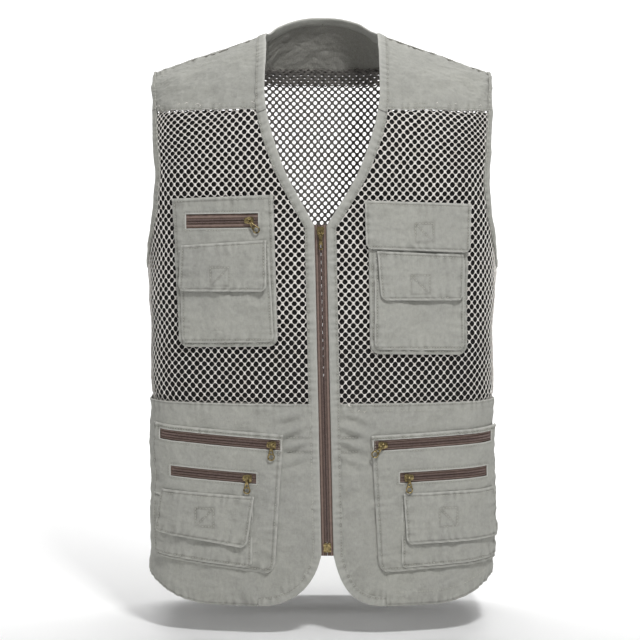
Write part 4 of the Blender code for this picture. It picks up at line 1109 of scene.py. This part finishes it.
class Patch(Sheet):
    """A patch with rounded lower corners, from its four corners, with openings for zips."""

    def __init__(self, side, corners, radius, spacing=0.0018, windows=()):
        top_in, top_out, low_in, low_out = [np.array([across_at(x), z]) for x, z in corners]
        tall = ((top_in - low_in)[1] + (top_out - low_out)[1]) / 2
        angles = np.linspace(0, math.pi / 2, ARC_STEPS)
        arc = radius * (1 - np.cos(angles)) / tall
        near = np.array([0.0004, 0.0010, 0.0016, 0.0022, 0.0030, 0.0042]) / tall
        heights = [arc, np.arange(radius, tall, spacing) / tall, 1 - near, [1.0]]
        wide = (top_out[0] - top_in[0] + low_out[0] - low_in[0]) / 2
        keys = []
        for ends, half in windows:
            middle = (ends[0][1] + ends[1][1]) / 2
            base = (low_in[1] + low_out[1]) / 2
            keys += [(middle - half - base) / tall, (middle + half - base) / tall]
        heights = np.unique(np.round(np.concatenate(heights), 7))
        by_lip = np.array([0.0004, 0.0009, 0.0015, 0.0022, 0.0030])
        fine = np.concatenate([-by_lip[::-1], [0], by_lip]) / tall
        for key in keys:
            heights = heights[np.abs(heights - key) > 0.0034 / tall]
        heights = np.unique(np.round(np.concatenate([heights] + [key + fine for key in keys]), 7))
        edge_near = np.array([0, 0.0004, 0.0010, 0.0016, 0.0022, 0.0030, 0.0042]) / wide
        shares = [edge_near, np.linspace(0.006 / wide, 1 - 0.006 / wide, int(wide / spacing)), 1 - edge_near]
        shares = np.unique(np.concatenate(shares))
        share, height = np.meshgrid(shares, heights)
        plain = height

        def span(v):
            z = v * tall
            turn = np.arccos(np.clip(1 - z / radius, -1, 1))
            inward = np.where(z < radius, radius * (1 - np.sin(turn)), 0)
            start = low_in[0] + (top_in[0] - low_in[0]) * v + inward
            stop = low_out[0] + (top_out[0] - low_out[0]) * v - inward
            return start, stop

        low = low_in[1] + (low_out[1] - low_in[1]) * share
        high = top_in[1] + (top_out[1] - top_in[1]) * share
        for _ in range(4):
            start, stop = span(height)
            across = start + (stop - start) * share
            if windows:
                wanted = [np.zeros(share.shape)]
                nominal = [0.0]
                for (ends, half), key in zip(windows, zip(keys[::2], keys[1::2])):
                    z = zip_share(ends, across)[1]
                    wanted += [(z - half - low) / (high - low), (z + half - low) / (high - low)]
                    nominal += list(key)
                wanted.append(np.ones(share.shape))
                nominal.append(1.0)
                height = np.zeros(share.shape)
                for i in range(len(nominal) - 1):
                    inside = (plain >= nominal[i]) & (plain <= nominal[i + 1])
                    part = (plain - nominal[i]) / (nominal[i + 1] - nominal[i])
                    warped = wanted[i] + (wanted[i + 1] - wanted[i]) * part
                    height = np.where(inside, warped, height)
        up = low + (high - low) * height
        self.open = np.zeros((share.shape[0] - 1, share.shape[1] - 1), bool)
        self.lip = np.full(share.shape, 1.0)
        for (ends, half), (key_low, key_high) in zip(windows, zip(keys[::2], keys[1::2])):
            first, last = np.searchsorted(heights, [key_low - 1e-6, key_high - 1e-6])
            middle = (first + last) // 2
            begin, finish = across_at(ends[0][0]), across_at(ends[1][0])
            left = int(np.argmin(np.abs(across[middle] - begin)))
            right = int(np.argmin(np.abs(across[middle] - finish)))
            across[first:last + 1, left], across[first:last + 1, right] = begin, finish
            self.open[first:last, left:right] = True
            z = zip_share(ends, across)[1]
            over = np.maximum(np.abs(up - z) - half, 0)
            past = np.maximum(np.maximum(begin - across, across - finish), 0)
            self.lip = np.minimum(self.lip, np.hypot(over, past))
        self.share, self.row = share, height
        self.across, self.up = side * across, up
        start, stop = span(height)
        self.to_left, self.to_right = across - start, stop - across
        self.to_start, self.to_end = up - low, high - up
        self.side = side

    def make(self, name, out, look, thickness, wear_and_painted_light=None):
        faces = grid_faces(*self.across.shape)[~self.open.ravel()]
        if self.side < 0:
            faces = faces[:, ::-1]
        made = thick(mesh_object(name, laid(self.across, self.up, out), faces, look, wear_and_painted_light), thickness)
        made["flat"] = cut_size(laid(self.across, self.up), self.open)
        return made


def add_pocket(name, side, corners, radius, windows, closed_top, node, group, seed):
    face = Patch(side, corners, radius, windows=windows)
    relief, wear_and_painted_light = cotton_relief(face, "lrse", seed, gather=0.00050, inset=0.0038)
    relief += round_edge(face, "lrse" if closed_top else "lrs", POCKET_OUT - 0.0014, 0.0032)
    middle = face.edge("lrs")
    relief += 0.0007 * smooth(middle / 0.030) * calm(face.across, face.up)
    relief += 0.00045 * peak(face.lip, 0.0017) - 0.00030 * peak(face.lip - 0.0024, 0.0007)
    # The window's lips pale with rubbed wear; the groove just beyond them gets painted shade.
    wear_and_painted_light = wear_and_painted_light + 0.75 * np.exp(-face.lip / 0.0009) - 0.35 * peak(face.lip - 0.0024, 0.0007)
    wear_and_painted_light = limited(wear_and_painted_light)
    made = face.make(name, POCKET_OUT + relief, COTTON, PANEL, wear_and_painted_light)
    cloth(made, group, node=node)
    stitched(group, face, "lrse" if closed_top else "lrs", POCKET_OUT - 0.0001, inset=0.0038, trim=0.004)
    for ends, half in windows:
        low, high = across_at(ends[0][0]) - 0.0024, across_at(ends[1][0]) + 0.0024
        for shift in (half + 0.0024, -half - 0.0024):
            tilt = [(side * a, zip_share(ends, a)[1] + shift) for a in np.linspace(low, high, 40)]
            stitch(group, np.array(tilt), POCKET_OUT + 0.0001)
        for a in (low, high):
            z = zip_share(ends, a)[1]
            end_row = line((side * a, z - half - 0.002), (side * a, z + half + 0.002), 6)
            stitch(group, end_row, POCKET_OUT + 0.0001)


def add_ply(name, side, corners, radius, node, group, seed):
    face = Patch(side, corners, radius)
    relief, wear_and_painted_light = cotton_relief(face, "lrse", seed, gather=0.00035, inset=0.0030)
    relief += round_edge(face, "lrse", 0.0009, 0.0018)
    made = face.make(name, PLY_OUT + relief, COTTON, 0.0009, wear_and_painted_light)
    cloth(made, group, node=node)
    stitched(group, face, "lrs", PLY_OUT + 0.0001, inset=0.0030, trim=0.004)


def square(side, centre, half, spacing=0.0010):
    a, z = side * across_at(centre[0]), centre[1]
    left = line((a - half, z - half), (a - half, z + half), 12)
    return Sheet(left, left + (2 * half, 0), spacing)


def hooks_on(name, side, centre, half, out, inward):
    """Rows of short bristles on a pad."""
    a, z = side * across_at(centre[0]), centre[1]
    places = np.linspace(-half + 0.0012, half - 0.0012, 15)
    across, up = (g.ravel() for g in np.meshgrid(a + places, z + places))
    draw = np.random.default_rng(len(name))
    lean = draw.uniform(-0.0004, 0.0004, (2, len(across)))
    normals = outward(across, up)
    starts = laid(across, up, out + hang(across, up))
    ends = laid(across + lean[0], up + lean[1], out + inward + hang(across, up))
    row = Row()
    row.add(starts, ends, np.cross(normals, (0.0, 0.0, 1.0)))
    return row.make(name, 0.00020, 0.00020, HOOKS)


def add_flap(name, side, corners, pad, base, dip, body, group, seed):
    out = base + FLAP_RISE
    flap = Patch(side, corners, 0.007)
    relief, wear_and_painted_light = cotton_relief(flap, "lrse", seed, gather=0.00050, inset=0.0030)
    relief += round_edge(flap, "lrs", 0.0006, 0.0014)
    relief -= dip * (1 - smooth(flap.to_end / 0.0055))
    free = smooth(1 - flap.to_start / 0.035)
    relief += 0.0021 * free ** 2 * (0.65 + 0.35 * np.cos(2 * math.pi * flap.share * 1.5 + seed))
    centre = side * across_at(pad[0]), pad[1]
    dx, dz = flap.across - centre[0], flap.up - centre[1]
    reach = np.maximum(np.abs(dx), np.abs(dz))
    ring = np.abs(reach - PAD_SEAM)
    cross = np.where(reach < PAD_SEAM, np.abs(side * dx + dz) / 1.414, 1)
    quilt = peak(np.minimum(ring, cross), 0.0012)
    relief -= 0.00045 * quilt
    along = np.where(np.abs(dx) > np.abs(dz), dz, dx)
    relief += 0.00022 * pucker(along, np.minimum(ring, cross), 0.0075, 0.0035, seed)
    # Painted shade along the quilted stitch grooves round the pad.
    wear_and_painted_light = limited(wear_and_painted_light - 0.32 * quilt)
    made = flap.make(name, out + relief, COTTON, 0.0009, wear_and_painted_light)
    cloth(made, body, node=body)
    stitched(body, flap, "lrs", out + 0.0002, inset=0.0030, trim=0.004)
    stitched(body, flap, "e", out - 0.0004, inset=0.0040, trim=0.004)
    box = [(-side, 1), (side, 1), (side, -1), (-side, -1), (-side, 1), (side, -1)]
    box = [(centre[0] + PAD_SEAM * x, centre[1] + PAD_SEAM * z) for x, z in box]
    for first, last in zip(box, box[1:]):
        stitch(body, line(first, last, 8), out + 0.0002)

    hook_pad = square(side, pad, HOOK_PAD_HALF)
    relief = hang(hook_pad.across, hook_pad.up)
    relief += 0.00008 * waves(hook_pad.across, hook_pad.up, 0.004, seed, 2)
    made = hook_pad.make(f"{name}_hooks", base + HOOK_RISE - 0.0001 + relief, HOOKS, 0.0006)
    cloth(made, body, f"{body}_hook_pad")
    bristles = hooks_on(f"{name}_bristles", side, pad, HOOK_PAD_HALF, base + 0.0010, -0.0004)
    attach(bristles, body)
    loop_pad = square(side, pad, LOOP_PAD_HALF)
    relief = hang(loop_pad.across, loop_pad.up)
    relief += 0.00012 * waves(loop_pad.across, loop_pad.up, 0.0022, seed + 5, 2)
    relief += round_edge(loop_pad, "lrse", 0.0004, 0.0012)
    made = loop_pad.make(f"{name}_loops", base + 0.0005 + relief, LOOPS, 0.0005)
    cloth(made, group)


# ---------------------------------------------------------------- zips

def coil_row(row, across, up, out, side_of):
    """Loops of a coil beside the places along a zip's middle, on one side of it."""
    count = len(across)
    starts = laid(across + side_of[0] * 0.0003, up + side_of[1] * 0.0003, np.full(count, out))
    ends = laid(across + side_of[0] * 0.0025, up + side_of[1] * 0.0025, np.full(count, out))
    row.add(starts, ends, outward(across, up))


def add_pocket_zip(name, side, ends, half, group, node):
    low, high = across_at(ends[0][0]) - 0.0016, across_at(ends[1][0]) + 0.0016
    wide = half + 0.0030
    a = np.linspace(low, high, 60)
    z = zip_share(ends, a)[1]
    lower, upper = np.stack([side * a, z - wide], -1), np.stack([side * a, z + wide], -1)
    tape = Sheet(lower, upper, 0.0009)
    middle = zip_share(ends, side * tape.across)[1]
    far = np.abs(tape.up - middle)
    out = POCKET_TAPE_OUT - 0.0008 - 0.0011 * smooth((far - half + 0.0012) / 0.0016)
    out += 0.0003 * peak(far, 0.0009) - 0.0004 * peak(far, 0.0003)
    out += 0.00010 * waves(tape.across, tape.up, 0.02, 91, 2)
    # Painted shade in the gap between the coil rows, beside the coil's outer edges and at the window's edges,
    # with a paler painted band of tape between.
    painted_light_stripes = -0.80 * peak(far - 0.0031, 0.0006) - 0.9 * peak(far, 0.0007)
    painted_light_stripes += 0.75 * peak(far - 0.0044, 0.0008) - 0.5 * peak(far - half, 0.0006)
    made = tape.make(f"{name}_weave", out, TAPE, 0.0006, painted_light_stripes)
    cloth(made, group, node)
    row = Row()
    start, stop = across_at(ends[0][0]) + ZIP_STOP, across_at(ends[1][0]) - ZIP_STOP
    for way, shift in ((1, 0.0), (-1, 0.5)):
        at = np.arange(start, stop, COIL_PITCH) + shift * COIL_PITCH
        coil_row(row, side * at, zip_share(ends, at)[1], POCKET_TAPE_OUT + 0.0001, (0.0, way))
    coil = row.make(f"{name}_coil", *COIL_SIZE, COIL)
    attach(coil, group)


def add_main_zip_tapes():
    top, stop = ZIP_TOP + 0.001, ZIP_BOTTOM + 0.0100
    for side, word in SIDES:
        z = np.linspace(stop - 0.014, top, 120)
        near = np.stack([zip_line(z) + side * 0.0001, z], -1)
        far = np.stack([zip_line(z) + side * (FRONT_GAP + 0.0065), z], -1)
        tape = Sheet(near, far, 0.0010)
        away = np.abs(tape.across - zip_line(tape.up))
        out = MAIN_TAPE_OUT - 0.0019 * smooth((away - FRONT_GAP + 0.0010) / 0.0014)
        # Painted shade in the gap between the two tapes and beside the coil's edge, with a paler painted band
        # of tape beyond.
        painted_light_stripes = 0.45 * peak(away - 0.0045, 0.0010) - 0.8 * peak(away - 0.0031, 0.0006)
        painted_light_stripes -= 0.9 * peak(away, 0.0008)
        made = tape.make(f"main_zip_weave_{word}", out, TAPE, 0.0006, painted_light_stripes)
        cloth(made, f"front_{word}", f"main_zip_tape_{word}")
        row = Row()
        at = np.arange(stop + 0.002, top - 0.002, COIL_PITCH) + (0.0006 if side > 0 else 0)
        coil_row(row, zip_line(at), at, MAIN_TAPE_OUT + 0.0001, (side, 0.0))
        coil = row.make(f"main_zip_coil_{word}", *COIL_SIZE, COIL)
        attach(coil, f"front_{word}")


# ---------------------------------------------------------------- brass

def frame_at(across, up, out, tilt=0.0):
    """A place on the form: X runs round the body, turned up by tilt, Y points inwards and Z up."""
    inward = -Vector(outward(across, up))
    along = Vector(body_point(across + 1e-4, up) - body_point(across - 1e-4, up)).normalized()
    along = Matrix.Rotation(-tilt, 3, inward) @ along
    rise = along.cross(inward)
    place = Matrix((along, inward, rise)).transposed().to_4x4()
    place.translation = Vector(laid(across, up, out))
    return place


def plate(shape, outline, low, high, holes=()):
    """A flat plate in the X and Z plane between two depths."""
    loops = [outline, *holes]
    edges = []
    for loop in loops:
        made = [shape.verts.new((x, low, z)) for x, z in loop]
        edges += [shape.edges.new(pair) for pair in zip(made, made[1:] + made[:1])]
    filled = bmesh.ops.triangle_fill(shape, edges=edges, use_beauty=True, use_dissolve=False)
    faces = [f for f in filled["geom"] if isinstance(f, bmesh.types.BMFace)]
    lifted = bmesh.ops.extrude_face_region(shape, geom=faces)
    verts = [v for v in lifted["geom"] if isinstance(v, bmesh.types.BMVert)]
    bmesh.ops.translate(shape, vec=(0, high - low, 0), verts=verts)


def tube(shape, path, radii, sides=10, closed=False):
    """A round bar along a path of points."""
    path = [Vector(p) for p in path]
    count = len(path)
    radii = radii if isinstance(radii, (list, tuple)) else [radii] * count
    rings, across = [], None
    for i, point in enumerate(path):
        before = path[i - 1] if i or closed else point
        after = path[(i + 1) % count] if i < count - 1 or closed else point
        run = (after - before).normalized()
        guide = across or (Vector((0, 1, 0)) if abs(run.y) < 0.9 else Vector((1, 0, 0)))
        across = (guide - run * guide.dot(run)).normalized()
        other = run.cross(across)
        ring = []
        for k in range(sides):
            angle = 2 * math.pi * k / sides
            away = math.cos(angle) * across + math.sin(angle) * other
            ring.append(shape.verts.new(point + radii[i] * away))
        rings.append(ring)
    spans = list(zip(rings, rings[1:])) + ([(rings[-1], rings[0])] if closed else [])
    for first, second in spans:
        for k in range(sides):
            j = (k + 1) % sides
            shape.faces.new((first[k], first[j], second[j], second[k]))
    if not closed:
        shape.faces.new(rings[0][::-1])
        shape.faces.new(rings[-1])


def arc(radius, centre, start, end, steps):
    turns = [math.radians(start + (end - start) * i / steps) for i in range(steps + 1)]
    return [(centre[0] + radius * math.cos(t), centre[1] + radius * math.sin(t)) for t in turns]


def add_brass(shape, place, node, body, bevel=0.00022):
    """Makes a metal piece of a shape, in place of the solid with this name."""
    name = f"{node}_metal"
    bmesh.ops.recalc_face_normals(shape, faces=shape.faces[:])
    mesh = bpy.data.meshes.new(name)
    shape.to_mesh(mesh)
    shape.free()
    mesh.polygons.foreach_set("use_smooth", [True] * len(mesh.polygons))
    made = bpy.data.objects.new(name, mesh)
    bpy.context.scene.collection.objects.link(made)
    mesh.materials.append(BRASS)
    mesh.transform(place)
    if bevel:
        round_off = made.modifiers.new("rounded", "BEVEL")
        round_off.width, round_off.segments, round_off.limit_method = bevel, 2, "ANGLE"
        round_off.angle_limit = math.radians(50)
    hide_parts(node)
    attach(made, body)


def slider_outline(length, half):
    """A slider's plate in its own plane: broad at its mouth, narrower at its tail."""
    tail, mouth = -length / 2, length / 2
    narrow = half * 0.72
    points = arc(0.0016, (mouth - 0.0016, half - 0.0016), 0, 90, 5)
    points += [(mouth * 0.15, half * 0.97), (tail * 0.5, narrow * 1.04)]
    points += arc(0.0017, (tail + 0.0017, narrow - 0.0017), 90, 180, 5)
    points += arc(0.0017, (tail + 0.0017, -narrow + 0.0017), 180, 270, 5)
    points += [(tail * 0.5, -narrow * 1.04), (mouth * 0.15, -half * 0.97)]
    return points + arc(0.0016, (mouth - 0.0016, -half + 0.0016), 270, 360, 5)


def slider_shape(length, half):
    """A slider along X: two plates joined by a wedge, the front one with a raised middle."""
    shape = bmesh.new()
    front, rear = -0.0024, 0.0021
    plate(shape, slider_outline(length, half), front, front + 0.0009)
    plate(shape, slider_outline(length, half), rear - 0.0009, rear)
    raised = [(x * 0.70, z * 0.52) for x, z in slider_outline(length, half)]
    plate(shape, raised, front - 0.0004, front + 0.0002)
    wedge = arc(0.0012, (length / 2 - 0.0016, 0), -90, 90, 6) + [(length / 2 - 0.0045, 0)]
    plate(shape, wedge, front + 0.0006, rear - 0.0006)
    return shape


def add_slider(place, name):
    shape = slider_shape(SLIDER_LENGTH, 0.0043)
    rivet = [(0, depth, 0) for depth in (-0.0024, -0.0047, -0.0048, -0.0052, -0.0055)]
    tube(shape, rivet, [0.00075, 0.00075, 0.0016, 0.0015, 0.0009], sides=14)
    add_brass(shape, place, name, name)


def add_pull(place, name):
    """An eye round the rivet, two prongs that part, and the ring that they hold."""
    shape = bmesh.new()
    out = -0.0040
    eye = [(x, out, z) for x, z in arc(0.0019, (0, -0.0004), 0, 345, 23)]
    tube(shape, eye, 0.00062, closed=True)
    ring_centre = -0.0136
    ring = [(x, out, z) for x, z in arc(0.0034, (0, ring_centre), 0, 350, 35)]
    tube(shape, ring, 0.00085, closed=True)
    for way in (1, -1):
        prong = [(way * 0.0008, out, -0.0020), (way * 0.0010, out, -0.0045), (way * 0.0017, out, -0.0078)]
        prong += [(way * 0.0027, out, -0.0112), (way * 0.0033, out, -0.0128)]
        tube(shape, prong, [0.0007, 0.00085, 0.00085, 0.00080, 0.00070])
    web = [(-0.0009, -0.0022), (0.0009, -0.0022), (0.0012, -0.0060), (0.0005, -0.0068), (-0.0005, -0.0068)]
    plate(shape, web + [(-0.0012, -0.0060)], out - 0.00042, out + 0.00042)
    add_brass(shape, place, name, name, bevel=0.00015)


def slider_start(ends):
    return across_at(ends[0][0]) + 0.0004 + ZIP_STOP + SLIDER_LENGTH / 2 + 0.0004


def slider_end(ends):
    return min(across_at(ends[1][0]) - ZIP_STOP - SLIDER_LENGTH / 2 - 0.001, FRONT_SPAN - 0.005)


def add_pocket_slider(name, side, ends, pull_turn):
    start, end = slider_start(ends), slider_end(ends)
    rise = zip_share(ends, end)[1] - zip_share(ends, start)[1]
    slope = math.atan2(rise, float(section(np.array(end))[0] - section(np.array(start))[0]))
    place = frame_at(side * start, zip_share(ends, start)[1], POCKET_TAPE_OUT, side * slope)
    facing = place if side < 0 else place @ Matrix.Rotation(math.pi, 4, "Y")
    add_slider(facing, f"{name}_slider")
    turned = place @ Matrix.Rotation(pull_turn + side * slope, 4, "Y")
    add_pull(turned, f"{name}_pull")


def add_main_slider():
    lean = math.atan(ZIP_LEAN)
    top = ZIP_TOP - 0.0065
    place = frame_at(zip_line(top), top, MAIN_TAPE_OUT, lean)
    shape = slider_shape(0.0110, 0.0043)
    upright = Matrix.Rotation(-math.pi / 2, 3, "Y")
    bmesh.ops.rotate(shape, cent=(0, 0, 0), matrix=upright, verts=shape.verts[:])
    for x in (-0.0033, 0.0033):
        post = [(x, y, -PIVOT_DROP) for y in (-0.0020, -0.0036, -PIVOT_OUT)]
        tube(shape, post, [0.0008, 0.0007, 0.0008])
    tube(shape, [(x, -PIVOT_OUT, -PIVOT_DROP) for x in (-0.0036, 0.0036)], 0.00055)
    add_brass(shape, place, "main_zip_slider", "main_zip_slider")

    shape = bmesh.new()
    collar = [(0, -PIVOT_OUT + y, -PIVOT_DROP + z) for y, z in arc(0.0014, (0, 0), 0, 345, 23)]
    for x in (-0.0016, 0.0016):
        tube(shape, [(x + p[0], p[1], p[2]) for p in collar], 0.00055, closed=True)
    strap = [(-0.0021, -0.0035), (-0.0019, -0.0080), (-0.0024, -0.0165)]
    strap += arc(0.0024, (0, -0.0180), 180, 360, 10)
    strap += [(0.0024, -0.0165), (0.0019, -0.0080), (0.0021, -0.0035)]
    slot_hole = arc(0.0009, (0, -0.0180), 180, 360, 6) + arc(0.0009, (0, -0.0150), 0, 180, 6)
    plate(shape, strap, -0.0056, -0.0046, holes=[slot_hole])
    add_brass(shape, place, "main_zip_pull", "main_zip_pull")


def add_zip_end():
    """The retainer box at the zip's lower end, and the pin in it."""
    low = ZIP_BOTTOM + 0.0052
    place = frame_at(zip_line(low), low, MAIN_TAPE_OUT, math.atan(ZIP_LEAN))
    shape = bmesh.new()
    outline = arc(0.0012, (0.0031, 0.0038), 0, 90, 4) + arc(0.0012, (-0.0031, 0.0038), 90, 180, 4)
    outline += arc(0.0012, (-0.0031, -0.0038), 180, 270, 4) + arc(0.0012, (0.0031, -0.0038), 270, 360, 4)
    plate(shape, outline, -0.0022, -0.0015)
    plate(shape, outline, 0.0011, 0.0018)
    for x0, x1, z0, z1 in ((0.0004, 0.0042, -0.0050, 0.0049), (-0.0042, -0.0035, -0.0049, 0.0040)):
        plate(shape, [(x0, z0), (x1, z0), (x1, z1), (x0, z1)], -0.0018, 0.0014)
    add_brass(shape, place, "zip_retainer_box", "front_left")
    shape = bmesh.new()
    tube(shape, [(-0.0017, -0.0002, -0.0040), (-0.0017, -0.0002, 0.0060)], 0.0009, 12)
    tube(shape, [(-0.0017, -0.0002, -0.0044), (-0.0017, -0.0002, -0.0040)], [0.0005, 0.0009], 12)
    add_brass(shape, place, "zip_insertion_pin", "front_right", bevel=0)


# ---------------------------------------------------------------- the vest

add_yokes()
add_back()
add_bindings()
add_side_tapes()
for side, word in SIDES:
    add_front(side, word)
    windows = ((SHORT_ZIP[word], LOWER_ZIP_HALF), (LONG_ZIP[word], LOWER_ZIP_HALF))
    group = f"front_{word}"
    add_pocket(f"cargo_face_{word}", side, CARGO[word], 0.012, windows, True,
               f"cargo_pocket_{word}", group, 101 + side)
    add_ply(f"cargo_ply_{word}", side, CARGO_PLY[word], 0.006,
            f"cargo_outer_pocket_{word}", group, 111 + side)
    add_flap(f"cargo_cover_{word}", side, CARGO_FLAP[word], CARGO_PAD[word], PLY_OUT, 0.0020,
             f"cargo_flap_{word}", group, 121 + side)
    add_pocket_zip(f"long_zip_{word}", side, LONG_ZIP[word], LOWER_ZIP_HALF, group, f"long_zip_{word}_tape")
    tape = f"short_zip_{word}_tape"
    add_pocket_zip(f"short_zip_{word}", side, SHORT_ZIP[word], LOWER_ZIP_HALF, group, tape)
    add_pocket_slider(f"long_zip_{word}", side, LONG_ZIP[word], math.radians(45) if side > 0 else 0.0)
    add_pocket_slider(f"short_zip_{word}", side, SHORT_ZIP[word], 0.0)

add_pocket("chest_face_right", -1, CHEST["right"], 0.011, ((CHEST_ZIP, CHEST_ZIP_HALF),), True,
           "chest_pocket_right", "front_right", 131)
add_pocket("chest_face_left", 1, CHEST["left"], 0.011, (), False, "chest_pocket_left", "front_left", 132)
add_pocket_zip("chest_zip", -1, CHEST_ZIP, CHEST_ZIP_HALF, "front_right", "chest_zip_tape")
add_pocket_slider("chest_zip", -1, CHEST_ZIP, math.radians(-40))
for side, word, seed in ((-1, "right", 141), (1, "left", 142)):
    add_ply(f"chest_ply_{word}", side, CHEST_PLY[word], 0.008,
            f"chest_outer_pocket_{word}", f"front_{word}", seed)
add_flap("chest_cover_right", -1, CHEST_FLAP["right"], CHEST_PAD["right"], PLY_OUT, 0.0020,
         "chest_flap_right", "front_right", 151)
add_flap("chest_cover_left_upper", 1, CHEST_FLAP["left_upper"], CHEST_PAD["left_upper"], POCKET_OUT, 0.0040,
         "chest_flap_left_upper", "front_left", 152)
add_flap("chest_cover_left_lower", 1, CHEST_FLAP["left_lower"], CHEST_PAD["left_lower"], PLY_OUT, 0.0020,
         "chest_flap_left_lower", "front_left", 153)
add_main_zip_tapes()
add_main_slider()
add_zip_end()

for group, row in STITCHES.items():
    seam = row.make(f"stitches_{group}", 0.00026, 0.00024, THREAD)
    if group in ("front_left", "front_right"):
        carry(seam, group, blended=True)
    else:
        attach(seam, group)


# ---------------------------------------------------------------- floor, light and camera

def add_stage():
    """A pale floor that sweeps up into a pale wall far behind the vest."""
    floor, wall, bend, start = HEM - 0.035, 2.6, 0.8, 2.7
    run = [(-4.5, floor), (start, floor)]
    turns = np.linspace(0.1, math.pi / 2, 16)
    run += [(start + bend * math.sin(t), floor + bend * (1 - math.cos(t))) for t in turns]
    run.append((start + bend, wall))
    points = [(x, y, z) for y, z in run for x in (-4.5, 4.5)]
    look = Look("pale_paper", (0.93, 0.93, 0.93), 0.9).made
    sweep = mesh_object("backdrop", np.array(points), grid_faces(len(run), 2), look)


def add_light(name, place, target, size, power):
    lamp = bpy.data.lights.new(name, "AREA")
    lamp.shape, lamp.size, lamp.size_y, lamp.energy = "RECTANGLE", size[0], size[1], power
    made = bpy.data.objects.new(name, lamp)
    bpy.context.scene.collection.objects.link(made)
    aim = Vector(target) - Vector(place)
    made.matrix_world = Matrix.Translation(place) @ aim.to_track_quat("-Z", "Y").to_matrix().to_4x4()


def add_camera():
    lens = bpy.data.cameras.new("camera")
    lens.lens, lens.sensor_width = 104.9, 36
    made = bpy.data.objects.new("camera", lens)
    bpy.context.scene.collection.objects.link(made)
    place, target = Vector((-0.0024, -2.2, -0.2)), Vector((-0.0024, 0, -0.3346))
    turn = (target - place).to_track_quat("-Z", "Y").to_matrix().to_4x4()
    made.matrix_world = Matrix.Translation(place) @ turn
    bpy.context.scene.camera = made


add_stage()
world = bpy.data.worlds.new("pale_room")
world.use_nodes = True
world.node_tree.nodes["Background"].inputs["Color"].default_value = (1, 1, 1, 1)
world.node_tree.nodes["Background"].inputs["Strength"].default_value = 0.26
bpy.context.scene.world = world
bpy.context.scene.view_settings.view_transform = "Standard"
middle = (0, 0, -0.25)
add_light("key", (0.45, -1.5, 1.35), middle, (0.3, 0.3), 30)
add_light("fill", (-1.6, -1.9, 0.4), middle, (1.2, 1.2), 3)
add_light("wall", (0.0, 1.3, 2.2), (0, 3.0, 0.0), (3.0, 0.8), 110)
add_camera()
